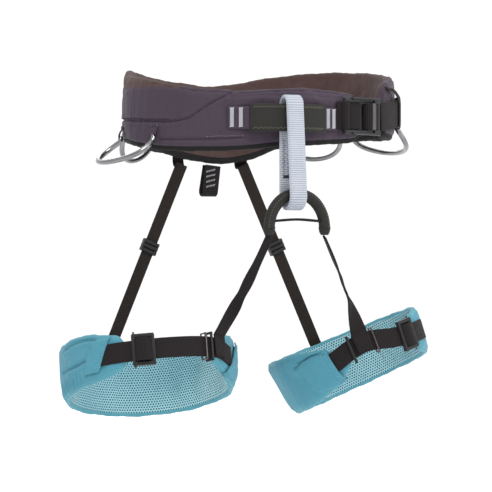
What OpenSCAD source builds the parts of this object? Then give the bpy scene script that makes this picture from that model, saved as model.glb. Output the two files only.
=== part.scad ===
// Sport climbing harness: padded waist belt, belay loop, leg bridge and two leg loops.
// Frame: origin at the centre of the waist opening, +Z up, -Y towards the wearer's front,
// +X towards the wearer's left. Angles round the belt and the leg loops start at the front.

/* [Waist belt] */
// Half width of the belt's outer face, side to side
belt_half_width = 141; // [139:0.5:143]
// Half depth of the belt's outer face, front to back
belt_half_depth = 100; // [98:0.5:102]
// Sideways shift of the belt towards its buckle
belt_shift = 10; // [9:0.5:11]
// Thickness of the belt's foam
belt_foam = 5.5; // [4:0.5:6]
// Diameter of the gear loops' cord
gear_cord = 5.2; // [4.5:0.1:6]

/* [Webbing] */
// Width of the waist webbing
waist_web = 28; // [26:1:29]
// Width of the leg webbing
leg_web = 20; // [18:1:21]
// Width of the belay loop
belay_web = 18; // [16:1:19]
// Width of the elastic straps at the back
elastic_web = 13; // [11:1:14]
// Thickness of structural webbing
web_thick = 2; // [1.6:0.1:2.2]

/* [Leg loops] */
// Outer radius of the right leg loop
right_leg_radius = 84; // [83:0.5:85]
// Outer radius of the left leg loop
left_leg_radius = 78; // [77:0.5:79]
// Thickness of a leg loop's foam
leg_foam = 4.5; // [3.5:0.5:5]

/* [Hidden] */
$fn = 32;
shell_thick = 1.5;       // face fabric and its backing
lining_thick = 1.5;      // spacer mesh
binding_height = 4;      // edge tape
lay = 0.3;               // air between pieces that are sewn face to face

// Belt heights: [angle, z] of the pad's upper and lower edges
belt_top = [[46, 27], [57, 35], [75, 41], [98, 47], [122, 50], [143, 49], [160, 44], [175, 37.5],
            [187, 35], [200, 37], [220, 40.5], [238, 44], [255, 45], [270, 39], [285, 32],
            [300, 26], [312, 22], [325, 19.5], [335, 18.5], [350, 21], [366, 21.5], [380, 19], [392, 16]];
belt_low = [[46, -16], [72, -17], [110, -16], [143, -18], [155, -24], [165, -33], [178, -39],
            [192, -37], [208, -31], [222, -27], [240, -23], [262, -23], [281, -28], [298, -32],
            [322, -33], [335, -32], [346, -29], [367, -26], [380, -24], [392, -21]];
pad_start = 46;
pad_end = 392;
// How far the face fabric stops below the pad's upper edge, where the lining rolls over it
roll_drop = [[46, 0], [75, 1], [100, 10], [150, 12], [230, 14], [258, 15], [275, 11],
             [290, 6], [305, 1], [318, 0], [392, 0]];

// Front tie-in point
tie_centre_z = -5;
tie_height = 27;
tie_core = 3;
tie_ends = [-32, 14.6];
sleeve_ends = [-23, 7.2];
// How far the tie-in strap stands off the belt, leaving room for the belay loop behind it
tie_lift = [[-32, 0.5], [-27, 1], [-21, 7], [-15, 10.5], [-9, 11.6], [-3, 11], [3, 8.2],
            [7.2, 4.5], [11.5, 1], [16, 0.5]];

// Belay loop: racetrack hung on the tie-in sleeve
belay_x = -9;
belay_thick = 4.2;
belay_top = [-110.5, 7.3];     // [y, z] of the upper bend's centre
belay_low = [-114.5, -80.3];   // and of the lower bend's
belay_top_bend = 7.6;
belay_low_bend = 11.5;

// Leg bridge: arch of sleeved webbing in the foot of the belay loop
bridge_half = 29.5;
bridge_x = -5;
bridge_foot_z = -111;
bridge_apex_z = -78;
bridge_y = -114.5;
bridge_tube = 11;
cap_height = 4;
riser_top_z = -119.5;

// Leg loops: centre and turn of each ring, outer side towards +X before the right one is mirrored
right_leg_at = [-112, 0, -249];
right_leg_turn = [-16, 2, 0];
left_leg_at = [113, 0, -243.5];
left_leg_turn = [-13, -20, 0];
leg_tapers = [0.02, 0.12];     // how much the right and left loops narrow downwards
leg_half_height = [[37, 12], [45, 16], [57, 20], [75, 22.5], [90, 23.5], [115, 25], [150, 26.5],
                   [190, 27.5], [225, 27.5], [255, 26], [290, 25], [303, 22], [314, 16], [324, 9]];
leg_pad_start = 37;
leg_pad_end = 324;
leg_buckle_angle = 25;
right_junction = -30;
left_junction = -13;
// The riser lifts the front strap at the junction
right_lift = 4;
left_lift = 10;

// Where the elastic straps leave the belt
back_x = -1;
elastic_from_back = 36;  // each side of the back's centre
elastic_anchor_z = -44;
elastic_foot_angle = 175;
adjuster_at = [0.43, 0.46];    // right and left, as shares of the strap

// Gear loops: [angle of first end, angle of last end, height of the ends, reach outwards, drop]
gear_front_left = [72, 118, -9, 15, 23];
gear_rear_left = [124, 151, -13, 7, 24];
gear_front_right = [293, 258, -25, 29, 22];
gear_rear_right = [239, 213, -14, 7, 28];

purple = [0.33, 0.29, 0.34];
brown = [0.33, 0.27, 0.26];
black = [0.17, 0.16, 0.16];
teal = [0.33, 0.62, 0.69];
pale_teal = [0.55, 0.74, 0.78];
silver = [0.66, 0.66, 0.68];
white_web = [0.85, 0.86, 0.88];

// ---- curves ----

// The stretch of keys that holds t
function stretch(keys, t, i = 0) =
    (i >= len(keys) - 2 || t < keys[i + 1][0]) ? i : stretch(keys, t, i + 1);
function key_slope(keys, i) =
    let (a = max(i - 1, 0), b = min(i + 1, len(keys) - 1))
    (keys[b][1] - keys[a][1]) / (keys[b][0] - keys[a][0]);
// A smooth curve through [t, value] keys
function along(keys, t) =
    let (i = stretch(keys, t), a = keys[i], b = keys[i + 1], w = b[0] - a[0],
         s = min(max((t - a[0]) / w, 0), 1), s2 = s * s, s3 = s2 * s)
    a[1] * (2 * s3 - 3 * s2 + 1) + b[1] * (3 * s2 - 2 * s3)
    + w * (key_slope(keys, i) * (s3 - 2 * s2 + s) + key_slope(keys, i + 1) * (s3 - s2));

function unit(v) = v / norm(v);
function mix(a, b, t) = a + (b - a) * t;
// OpenSCAD's own rotate([x, y, z]), as a function on a point
function turned(p, r) =
    let (a = [p.x, p.y * cos(r.x) - p.z * sin(r.x), p.y * sin(r.x) + p.z * cos(r.x)],
         b = [a.x * cos(r.y) + a.z * sin(r.y), a.y, a.z * cos(r.y) - a.x * sin(r.y)])
    [b.x * cos(r.z) - b.y * sin(r.z), b.x * sin(r.z) + b.y * cos(r.z), b.z];

// ---- solids ----

// Joins a row of rings, each a list of points, into one solid
module skin(rings, closed = false) {
    n = len(rings);
    m = len(rings[0]);
    walls = [for (i = [0 : (closed ? n : n - 1) - 1]) for (j = [0 : m - 1])
        let (k = (i + 1) % n, l = (j + 1) % m)
        each [[i * m + j, i * m + l, k * m + l], [i * m + j, k * m + l, k * m + j]]];
    caps = closed ? [] : [[for (j = [m - 1 : -1 : 0]) j], [for (j = [0 : m - 1]) (n - 1) * m + j]];
    polyhedron([for (r = rings) each r], concat(walls, caps));
}

// A flat strip: centre points, the direction across its width at each, and its width and thickness
module strip(centres, across, widths, thick, closed = false) {
    n = len(centres);
    skin([for (i = [0 : n - 1])
        let (a = centres[closed ? (i + n - 1) % n : max(i - 1, 0)],
             b = centres[closed ? (i + 1) % n : min(i + 1, n - 1)],
             ahead = unit(b - a), side = unit(across[i] - ahead * (across[i] * ahead)),
             out = cross(side, ahead), w = widths[i] / 2, t = thick / 2)
        [centres[i] - side * w - out * t, centres[i] - side * w + out * t,
         centres[i] + side * w + out * t, centres[i] + side * w - out * t]], closed);
}

// A round cord along a row of points; lean is any direction that the row never follows
module cord(centres, diameter, lean, sides = 8, closed = false) {
    n = len(centres);
    skin([for (i = [0 : n - 1])
        let (a = centres[closed ? (i + n - 1) % n : max(i - 1, 0)],
             b = centres[closed ? (i + 1) % n : min(i + 1, n - 1)],
             ahead = unit(b - a), side = unit(cross(lean, ahead)), out = cross(side, ahead))
        [for (j = [0 : sides - 1]) let (turn = j * 360 / sides)
            centres[i] + diameter / 2 * (side * cos(turn) + out * sin(turn))]],
        closed);
}

// ---- the belt's ring ----

function belt_normal(a) = unit([belt_half_depth * sin(a), -belt_half_width * cos(a)]);
function belt_plan(a, off) =
    [belt_shift + belt_half_width * sin(a), -belt_half_depth * cos(a)] + off * belt_normal(a);
function belt_point(a, off, z) = let (p = belt_plan(a, off)) [p.x, p.y, z];
function belt_across(a) = let (n = belt_normal(a)) [n.x, n.y, 0];
function belt_ahead(a) = let (n = belt_normal(a)) [-n.y, n.x, 0];

// A band that follows the belt, with functions of the angle for its offsets and heights
module belt_band(from, to, steps, inner, outer, low, high) {
    skin([for (i = [0 : steps]) let (a = mix(from, to, i / steps))
        [belt_point(a, inner(a), low(a)), belt_point(a, outer(a), low(a)),
         belt_point(a, outer(a), high(a)), belt_point(a, inner(a), high(a))]]);
}

foam_out = -shell_thick - web_thick;
foam_in = foam_out - belt_foam;
lining_in = foam_in - lining_thick;
belt_steps = 64;

module belt_layer(inner, outer, low, high) {
    belt_band(pad_start, pad_end, belt_steps, function (a) inner, function (a) outer, low, high);
}
pad_low = function (a) along(belt_low, a);
pad_high = function (a) along(belt_top, a);

module belt_outer_shell() color(purple)
    belt_layer(-shell_thick, 0, pad_low, function (a) along(belt_top, a) - along(roll_drop, a));
module belt_foam_core() color("dimgray") belt_layer(foam_in, foam_out, pad_low, pad_high);
module belt_inner_lining() color(brown) belt_layer(lining_in, foam_in, pad_low, pad_high);
module belt_load_webbing() color(black)
    belt_layer(-shell_thick - web_thick, -shell_thick, function (a) -15, function (a) 12);
module belt_bottom_binding() color(black)
    belt_layer(lining_in - 0.5, 0.5, function (a) along(belt_low, a) - binding_height,
               function (a) along(belt_low, a) - lay);
module belt_top_binding() color(brown)
    belt_layer(lining_in - 0.5, -shell_thick - 0.5, function (a) along(belt_top, a) + lay,
               function (a) along(belt_top, a) + binding_height - 1);

// ---- tie-in point ----

module tie_in_webbing() color(black)
    belt_band(tie_ends[0], tie_ends[1], 20, function (a) along(tie_lift, a),
              function (a) along(tie_lift, a) + tie_core, function (a) tie_centre_z - tie_height / 2 + 2.5,
              function (a) tie_centre_z + tie_height / 2 - 2.5);
module tie_in_sleeve() color(black) {
    skin_gap = 0.2;
    wall = 1.1;
    difference() {
        belt_band(sleeve_ends[0], sleeve_ends[1], 16, function (a) along(tie_lift, a) - skin_gap - wall,
                  function (a) along(tie_lift, a) + tie_core + skin_gap + wall,
                  function (a) tie_centre_z - tie_height / 2, function (a) tie_centre_z + tie_height / 2);
        belt_band(sleeve_ends[0] - 1, sleeve_ends[1] + 1, 18, function (a) along(tie_lift, a) - skin_gap,
                  function (a) along(tie_lift, a) + tie_core + skin_gap,
                  function (a) tie_centre_z - tie_height / 2 + 2.2,
                  function (a) tie_centre_z + tie_height / 2 - 2.2);
    }
}
module tie_in_bartacks() color(white_web)
    for (a = [-30.2, -26.6, 9.3, 12.5])
        belt_band(a - 0.9, a + 0.9, 1, function (b) along(tie_lift, b) + tie_core + lay,
                  function (b) along(tie_lift, b) + tie_core + lay + 0.8,
                  function (b) tie_centre_z - 9, function (b) tie_centre_z + 9.5);

// ---- waist buckle and webbing ----

buckle_mid = 26.7;
buckle_long = 51;
buckle_tall = 36;
buckle_rail = 4.5;
slide_bar = buckle_tall - 2 * buckle_rail - 0.8;
buckle_off = 5;          // frame's mid plane, outwards from the belt's face
// The webbing's mid height and its lift off the belt
waist_rise = [[15, -1.5], [38, -0.5], [52, 2.5], [70, 6.5], [92, 9]];
strap_lift = [[15, 4], [38, 5.5], [50, 4], [64, 4], [80, 6], [92, 11]];

module at_buckle() {
    p = belt_point(buckle_mid, buckle_off, along(waist_rise, buckle_mid));
    translate(p) rotate([0, 0, atan2(belt_ahead(buckle_mid).y, belt_ahead(buckle_mid).x)]) children();
}
module waist_band(from, to, steps, down, up, taller = 0)
    belt_band(from, to, steps, function (a) along(strap_lift, a) - down,
              function (a) along(strap_lift, a) + up,
              function (a) along(waist_rise, a) - waist_web / 2 - taller,
              function (a) along(waist_rise, a) + waist_web / 2 + taller);
module waist_webbing_fixed() color(black) waist_band(15.4, 19.5, 3, 2.8, -1.4);
module waist_webbing_adjusting() color(black) waist_band(38.8, 76, 20, 0, web_thick);
module waist_webbing_tail() color(black) waist_band(76.7, 92, 8, 0, web_thick);
module waist_strap_keeper() color(black) difference() {
    waist_band(62, 68, 4, 1.8, web_thick + 1.8, 2.2);
    waist_band(61, 69, 6, 0.7, web_thick + 0.7, 0.8);
}
// Frame with two flanged rails and three bars
module waist_buckle_frame() color([0.2, 0.2, 0.2]) at_buckle() {
    rail = buckle_rail;
    for (side = [-1, 1]) {
        translate([-buckle_long / 2, -2, side > 0 ? buckle_tall / 2 - rail : -buckle_tall / 2])
            cube([buckle_long, 4, rail]);
        translate([-buckle_long / 2 + 6, -5.5, side > 0 ? buckle_tall / 2 - 1.8 : -buckle_tall / 2])
            cube([buckle_long - 9, 3.5, 1.8]);
    }
    for (x = [-buckle_long / 2 + 2.5, buckle_long / 2 - 2.5])
        translate([x, 0, -buckle_tall / 2 + rail]) cylinder(d = 4.4, h = buckle_tall - 2 * rail);
    translate([-4, -1.6, -buckle_tall / 2 + rail]) cube([6, 3.2, buckle_tall - 2 * rail]);
}
// Serrated bar that clamps the webbing against the frame, with the webbing wrapped round it
module waist_buckle_slide_bar() color([0.14, 0.14, 0.14]) at_buckle()
    translate([11, 0, -slide_bar / 2]) {
        cylinder(d = 6.5, h = slide_bar);
        translate([-4.2, -3, 0]) cube([2.6, 5.4, slide_bar]);
    }

// ---- belay loop ----

// Closed racetrack in the YZ plane; the rear run hangs upright, clear of the belt's lower edge
function rear_end(centre, bend) = [belay_x, centre[0] + bend, centre[1]];
function belay_path(n) =
    concat([for (i = [0 : n]) let (a = 180 - 180 * i / n)
               [belay_x, belay_top[0] + belay_top_bend * cos(a), belay_top[1] + belay_top_bend * sin(a)]],
           [for (i = [1 : 3]) mix(rear_end(belay_top, belay_top_bend), rear_end(belay_low, belay_low_bend), i / 4)],
           [for (i = [0 : n]) let (a = -180 * i / n)
               [belay_x, belay_low[0] + belay_low_bend * cos(a), belay_low[1] + belay_low_bend * sin(a)]],
           [for (i = [1 : 3]) mix(rear_end(belay_low, -belay_low_bend), rear_end(belay_top, -belay_top_bend), i / 4)]);
module belay_loop_webbing() color(white_web) {
    path = belay_path(8);
    strip(path, [for (p = path) [1, 0, 0]], [for (p = path) belay_web], belay_thick, closed = true);
}
// Bar-tack rows on the rear run, standing on its inner face
module belay_loop_stitching() color([0.3, 0.3, 0.34])
    for (z = [-31, -40, -49, -58])
        translate([belay_x - 6, belay_top[0] + belay_top_bend - belay_thick / 2 - lay - 0.7, z])
            cube([12, 0.7, 2]);

// ---- leg bridge ----

function arch(t) = let (a = 180 - 180 * t)
    [bridge_x + bridge_half * cos(a), bridge_y, bridge_foot_z + (bridge_apex_z - bridge_foot_z) * sin(a)];
bridge_steps = 20;
module bridge_sleeve() color(black) difference() {
    cord([for (i = [0 : bridge_steps]) arch(i / bridge_steps)], bridge_tube, [0, 1, 0], 12);
    cord([for (i = [-1 : bridge_steps + 1]) arch(i / bridge_steps)], bridge_tube - 2.4, [0, 1, 0], 12);
}
module bridge_webbing_core() color([0.25, 0.24, 0.24])
    cord([for (i = [0 : bridge_steps]) arch(i / bridge_steps)], bridge_tube - 3.2, [0, 1, 0], 8);
module bridge_cross_strap() color(black)
    translate([bridge_x - bridge_half + bridge_tube / 2 + 1.6, bridge_y - 4, bridge_foot_z + 6])
        cube([2 * bridge_half - bridge_tube - 3.2, 8, 2.6]);
// Tapered covers that close the sleeve's feet over the risers
module bridge_end_caps() color(black)
    for (side = [-1, 1]) translate([bridge_x + side * bridge_half, bridge_y, bridge_foot_z - 2.5 * lay])
        rotate([180, 0, 0]) intersection() {
            cylinder(d1 = bridge_tube + 1, d2 = bridge_tube - 2, h = cap_height);
            translate([-8, -4.6, 0]) cube([16, 9.2, cap_height]);
        }

// ---- gear loops and haul loop ----

// A half round loop from one end to the other, standing out and down from the belt's face
function gear_path(g, n) = [for (i = [0 : n])
    let (t = (1 - cos(180 * i / n)) / 2, bulge = pow(sin(180 * t), 0.3), a = mix(g[0], g[1], t))
    belt_point(a, gear_cord / 2 + 1.4 + g[3] * bulge, g[2] - g[4] * bulge)];
module gear_loop(g) color(silver) cord(gear_path(g, 22), gear_cord, [0, 0, 1], 8);
module gear_loop_anchor_tabs() color(purple)
    for (g = [gear_front_left, gear_rear_left, gear_front_right, gear_rear_right])
        for (a = [g[0], g[1]]) {
            low = g[2] + gear_cord / 2 + 0.8;
            belt_band(a - 2.6, a + 2.6, 2, function (b) lay, function (b) lay + 2.2,
                      function (b) low, function (b) low + 9);
        }

haul_x = -4;
haul_z = -45;
haul_low_z = -77;
haul_deep = 12;
haul_web = 17;
// Inner run, bend at the foot, outer run leaning back to the top
module haul_loop() color(black) {
    bend = haul_deep / 2 - 1;
    y = belt_half_depth - 5;
    path = concat([for (i = [0 : 3]) [haul_x + 3 - i, y - bend, mix(haul_z, haul_low_z + bend + 1, i / 3)]],
                  [for (i = [1 : 7]) let (a = 180 + 180 * i / 8)
                      [haul_x, y + bend * cos(a), haul_low_z + bend + 1 + bend * sin(a)]],
                  [for (i = [0 : 3])
                      [haul_x + i, y + bend - i * 0.9, mix(haul_low_z + bend + 1, haul_z, i / 3)]]);
    strip(path, [for (p = path) [1, 0, 0]], [for (p = path) haul_web], web_thick);
}

// ---- leg loops ----

function leg_radius(side) = side == "right" ? right_leg_radius : left_leg_radius;
function leg_at(side) = side == "right" ? right_leg_at : left_leg_at;
function leg_turn(side) = side == "right" ? right_leg_turn : left_leg_turn;
function leg_mirror(side) = side == "right" ? -1 : 1;
// A point on the ring in its own frame, the angle positive towards the leg's outer side
function leg_taper(side) = leg_tapers[side == "right" ? 0 : 1];
function ring_point(side, a, off, z) =
    let (r = leg_radius(side) + off + leg_taper(side) * z) [r * sin(a), -r * cos(a), z];
// The same point in the harness's frame
function leg_point(side, a, off, z) =
    let (p = ring_point(side, a, off, z))
    leg_at(side) + turned([p.x * leg_mirror(side), p.y, p.z], leg_turn(side));
module in_leg(side)
    translate(leg_at(side)) rotate(leg_turn(side)) mirror([side == "right" ? 1 : 0, 0, 0]) children();
module leg_band(side, from, to, steps, inner, outer, low, high) {
    skin([for (i = [0 : steps]) let (a = mix(from, to, i / steps))
        [ring_point(side, a, inner(a), low(a)), ring_point(side, a, outer(a), low(a)),
         ring_point(side, a, outer(a), high(a)), ring_point(side, a, inner(a), high(a))]]);
}
leg_steps = 44;
leg_foam_in = -shell_thick - leg_foam;
leg_lining_in = leg_foam_in - lining_thick;
module leg_layer(side, inner, outer, low, high)
    leg_band(side, leg_pad_start, leg_pad_end, leg_steps, function (a) inner, function (a) outer, low, high);
leg_low = function (a) -along(leg_half_height, a);
leg_high = function (a) along(leg_half_height, a);

module leg_outer_shell(side) color(teal) in_leg(side) leg_layer(side, -shell_thick, 0, leg_low, leg_high);
module leg_foam_pad(side) color("gray") in_leg(side)
    leg_layer(side, leg_foam_in, -shell_thick, leg_low, leg_high);
module leg_mesh_lining(side) color(pale_teal) in_leg(side)
    leg_layer(side, leg_lining_in, leg_foam_in, leg_low, leg_high);
module leg_edge_binding(side) color(teal) in_leg(side) {
    tape = 2.4;
    leg_layer(side, leg_lining_in, 0, function (a) along(leg_half_height, a) + lay,
              function (a) along(leg_half_height, a) + tape);
    leg_layer(side, leg_lining_in, 0, function (a) -along(leg_half_height, a) - tape,
              function (a) -along(leg_half_height, a) - lay);
}

// The front strap lies on the pad at both ends and dips a little between them
leg_lift = [[-54, 0.5], [-30, 0.5], [-15, -0.3], [0, -1], [20, -0.3], [36, 0.5], [60, 0.5]];
function junction(side) = side == "right" ? right_junction : left_junction;
function leg_rise(side, a) =
    let (j = junction(side), l = side == "right" ? right_lift : left_lift)
    along([[-54, 0], [-44, 0.1 * l], [j, l], [12, 0.3 * l], [30, 0], [60, 0]], a);
module leg_strap(side, from, to, steps) color(black) in_leg(side)
    leg_band(side, from, to, steps, function (a) along(leg_lift, a),
             function (a) along(leg_lift, a) + web_thick,
             function (a) leg_rise(side, a) - leg_web / 2, function (a) leg_rise(side, a) + leg_web / 2);
module leg_webbing_fixed(side) leg_strap(side, 33.8, 60, 10);
module leg_webbing_adjusting(side) leg_strap(side, -54, 16.2, 22);

module at_ring(side, a, off) in_leg(side)
    translate(ring_point(side, a, off, 0) + [0, 0, leg_rise(side, a)])
        rotate([0, 0, a]) rotate([atan(leg_taper(side)), 0, 0]) children();
// Ladder buckle: X along the strap, -Y outwards
module leg_buckle_frame(side) color([0.15, 0.15, 0.15]) at_ring(side, leg_buckle_angle, 2) {
    long = 22;
    tall = 31;
    rail = 4.2;
    for (z = [-tall / 2, tall / 2 - rail]) translate([-long / 2, -2, z]) cube([long, 4, rail]);
    for (x = [-long / 2 + 1.6, long / 2 - 1.6])
        translate([x, -0.2, -tall / 2 + rail]) cylinder(d = 3.2, h = tall - 2 * rail);
}
module leg_buckle_bar(side) color([0.2, 0.2, 0.22]) at_ring(side, leg_buckle_angle, 2)
    translate([0, -0.4, -leg_web / 2]) {
        cylinder(d = 7.5, h = leg_web);
        translate([0, 0, -1.25]) cylinder(d = 2.6, h = leg_web + 2.5);
    }
// Rectangular rings that run on the front strap
module strap_ring(side, a, bar, deep, tall) {
    inner = [bar + 2, deep - 2 * bar, tall - 2 * bar];
    at_ring(side, a, along(leg_lift, a) + web_thick / 2) difference() {
        cube([bar, deep, tall], center = true);
        cube(inner, center = true);
    }
}
module leg_strap_keeper(side) color(black) strap_ring(side, -22, 2.6, 9.4, 28.4);
module leg_riser_ring(side) color(silver) strap_ring(side, side == "right" ? -17.5 : -3.5, 2, 8.4, 26.5);

// Riser: from the bridge's foot to the front strap, turning about its own line on the way
riser_width = [[0, 10], [0.3, 11], [0.75, 12], [0.92, 15], [1, 17]];
riser_twist = [[0, 70], [0.25, 74], [0.45, 62], [0.6, 84], [0.75, 60], [0.88, 30], [1, 4]];
function riser_ends(side) =
    let (l = side == "right" ? right_lift : left_lift)
    [[bridge_x + bridge_half * leg_mirror(side), bridge_y, riser_top_z],
     leg_point(side, junction(side), 4.3, l + 12), leg_point(side, junction(side), 4.3, l - 9)];
function riser_line(side, n) = let (e = riser_ends(side))
    [for (i = [0 : n]) let (t = i / n) mix(e[0], e[1], t) + [0, -4 * sin(180 * t), 0]];
module riser_strap(side) color(black) {
    n = 16;
    line = concat(riser_line(side, n), [riser_ends(side)[2]]);
    m = leg_mirror(side);
    ahead = unit(leg_point(side, junction(side) + 1, 4, 0) - leg_point(side, junction(side) - 1, 4, 0)) * m;
    strip(line,
          [for (i = [0 : n + 1]) let (t = min(i / n, 1), w = along(riser_twist, t), s = pow(t, 3))
              unit([cos(w), m * sin(w), 0] * (1 - s) + ahead * s)],
          [for (i = [0 : n + 1]) along(riser_width, min(i / n, 1))], web_thick);
}

// Elastic strap: from the belt's lower edge at the back to the top of the leg loop's back
function elastic_x(side) = back_x + leg_mirror(side) * elastic_from_back;
function elastic_angle(side) = 180 - asin((elastic_x(side) - belt_shift) / belt_half_width);
function elastic_top(side) = belt_point(elastic_angle(side), -4, elastic_anchor_z);
// The strap comes down to the loop's upper edge and lies on its outer face from there
function elastic_low(side) = leg_point(side, elastic_foot_angle, 2.2, 32);
function elastic_foot(side) = leg_point(side, elastic_foot_angle - (side == "right" ? 4 : 1), 2.2, 15);
function elastic_middle(side, t) = mix(elastic_top(side), elastic_low(side), t);
module elastic_strap(side) color(black) {
    n = 8;
    line = concat([for (i = [0 : n]) elastic_middle(side, i / n)], [elastic_foot(side)]);
    round = unit(leg_point(side, 174, 2, 20) - leg_point(side, 176, 2, 20)) * leg_mirror(side);
    strip(line, [for (i = [0 : n + 1]) mix([1, 0, 0], round, pow(min(i / n, 1), 2))],
          [for (p = line) elastic_web], 1.6);
}
module elastic_adjuster(side) color([0.15, 0.15, 0.15]) {
    d = unit(elastic_low(side) - elastic_top(side));
    translate(elastic_middle(side, adjuster_at[side == "right" ? 0 : 1]))
        multmatrix(axes_along(d)) difference() {
            cube([elastic_web + 4.4, 6.4, 13], center = true);
            cube([elastic_web + 1.2, 3, 20], center = true);
        }
}
// Turns local Z onto d, keeping local X across it in the harness's XZ plane
function axes_along(d) =
    let (x = unit([1, 0, 0] - d * d.x), y = cross(d, x))
    [[x.x, y.x, d.x, 0], [x.y, y.y, d.y, 0], [x.z, y.z, d.z, 0]];
module elastic_anchor_tabs() color(black)
    for (side = ["right", "left"]) {
        a = elastic_angle(side);
        belt_band(a - 3.1, a + 3.1, 2, function (b) 0.9, function (b) 2.5, function (b) elastic_anchor_z - 3,
                  function (b) elastic_anchor_z + 10);
    }

belt_outer_shell();
belt_foam_core();
belt_inner_lining();
belt_load_webbing();
belt_bottom_binding();
belt_top_binding();
tie_in_webbing();
tie_in_sleeve();
tie_in_bartacks();
gear_loop_anchor_tabs();
elastic_anchor_tabs();
waist_webbing_fixed();
waist_webbing_adjusting();
waist_webbing_tail();
waist_strap_keeper();
waist_buckle_frame();
waist_buckle_slide_bar();
belay_loop_webbing();
belay_loop_stitching();
bridge_webbing_core();
bridge_sleeve();
bridge_cross_strap();
bridge_end_caps();
gear_loop(gear_front_left);  // gear_loop_front_left
gear_loop(gear_rear_left);  // gear_loop_rear_left
gear_loop(gear_front_right);  // gear_loop_front_right
gear_loop(gear_rear_right);  // gear_loop_rear_right
haul_loop();
for (side = ["right", "left"]) {
    leg_outer_shell(side);
    leg_foam_pad(side);
    leg_mesh_lining(side);
    leg_edge_binding(side);
    leg_webbing_fixed(side);
    leg_webbing_adjusting(side);
    leg_buckle_frame(side);
    leg_buckle_bar(side);
    leg_strap_keeper(side);
    leg_riser_ring(side);
    riser_strap(side);
    elastic_strap(side);
    elastic_adjuster(side);
}
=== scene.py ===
import bmesh
import bpy
import numpy as np
from mathutils import Matrix, Vector


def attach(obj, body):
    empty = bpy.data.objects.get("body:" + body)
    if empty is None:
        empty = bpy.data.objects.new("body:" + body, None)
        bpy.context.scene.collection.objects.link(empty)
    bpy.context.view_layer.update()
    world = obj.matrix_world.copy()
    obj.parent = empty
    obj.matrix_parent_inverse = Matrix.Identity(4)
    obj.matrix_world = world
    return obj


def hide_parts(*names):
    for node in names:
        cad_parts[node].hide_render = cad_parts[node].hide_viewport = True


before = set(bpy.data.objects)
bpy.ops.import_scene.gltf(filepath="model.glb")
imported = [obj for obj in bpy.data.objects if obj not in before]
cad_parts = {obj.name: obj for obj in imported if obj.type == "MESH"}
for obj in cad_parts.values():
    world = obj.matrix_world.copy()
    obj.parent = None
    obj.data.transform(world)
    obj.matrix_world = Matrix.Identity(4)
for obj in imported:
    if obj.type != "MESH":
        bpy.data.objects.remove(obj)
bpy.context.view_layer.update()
MM = 0.001
TURN = 2 * np.pi

# ---- camera, light and floor ----

lens = bpy.data.cameras.new("camera")
camera = bpy.data.objects.new("camera", lens)
bpy.context.scene.collection.objects.link(camera)
target = Vector((-0.00453, 0.00211, -0.128))
distance, field, azimuth = 2.5, 0.492, np.radians(-25)
camera.location = target + distance * Vector((np.sin(azimuth), -np.cos(azimuth), 0))
camera.rotation_euler = (target - camera.location).to_track_quat("-Z", "Y").to_euler()
lens.sensor_width = 36
lens.lens = lens.sensor_width * distance / field
bpy.context.scene.camera = camera
bpy.context.scene.view_settings.view_transform = "Standard"

world = bpy.data.worlds.new("studio")
bpy.context.scene.world = world
world.use_nodes = True
world.node_tree.nodes["Background"].inputs["Color"].default_value = (1, 1, 1, 1)
world.node_tree.nodes["Background"].inputs["Strength"].default_value = 1.04


def soft_light(name, place, size, watts):
    light = bpy.data.lights.new(name, "AREA")
    light.size = size
    light.energy = watts
    o = bpy.data.objects.new(name, light)
    bpy.context.scene.collection.objects.link(o)
    o.location = place
    o.rotation_euler = (target - o.location).to_track_quat("-Z", "Y").to_euler()


soft_light("key", Vector((-0.2, -1.5, 2.1)), 1.0, 42)
soft_light("fill", Vector((1.6, -1.2, 0.5)), 1.0, 8)
soft_light("back", Vector((0.4, 1.9, 1.5)), 1.2, 16)


# ---- materials ----


def linear(colour):
    c = np.array(colour, float) / 255
    return [*np.where(c <= 0.04045, c / 12.92, ((c + 0.055) / 1.055) ** 2.4), 1]


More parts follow.
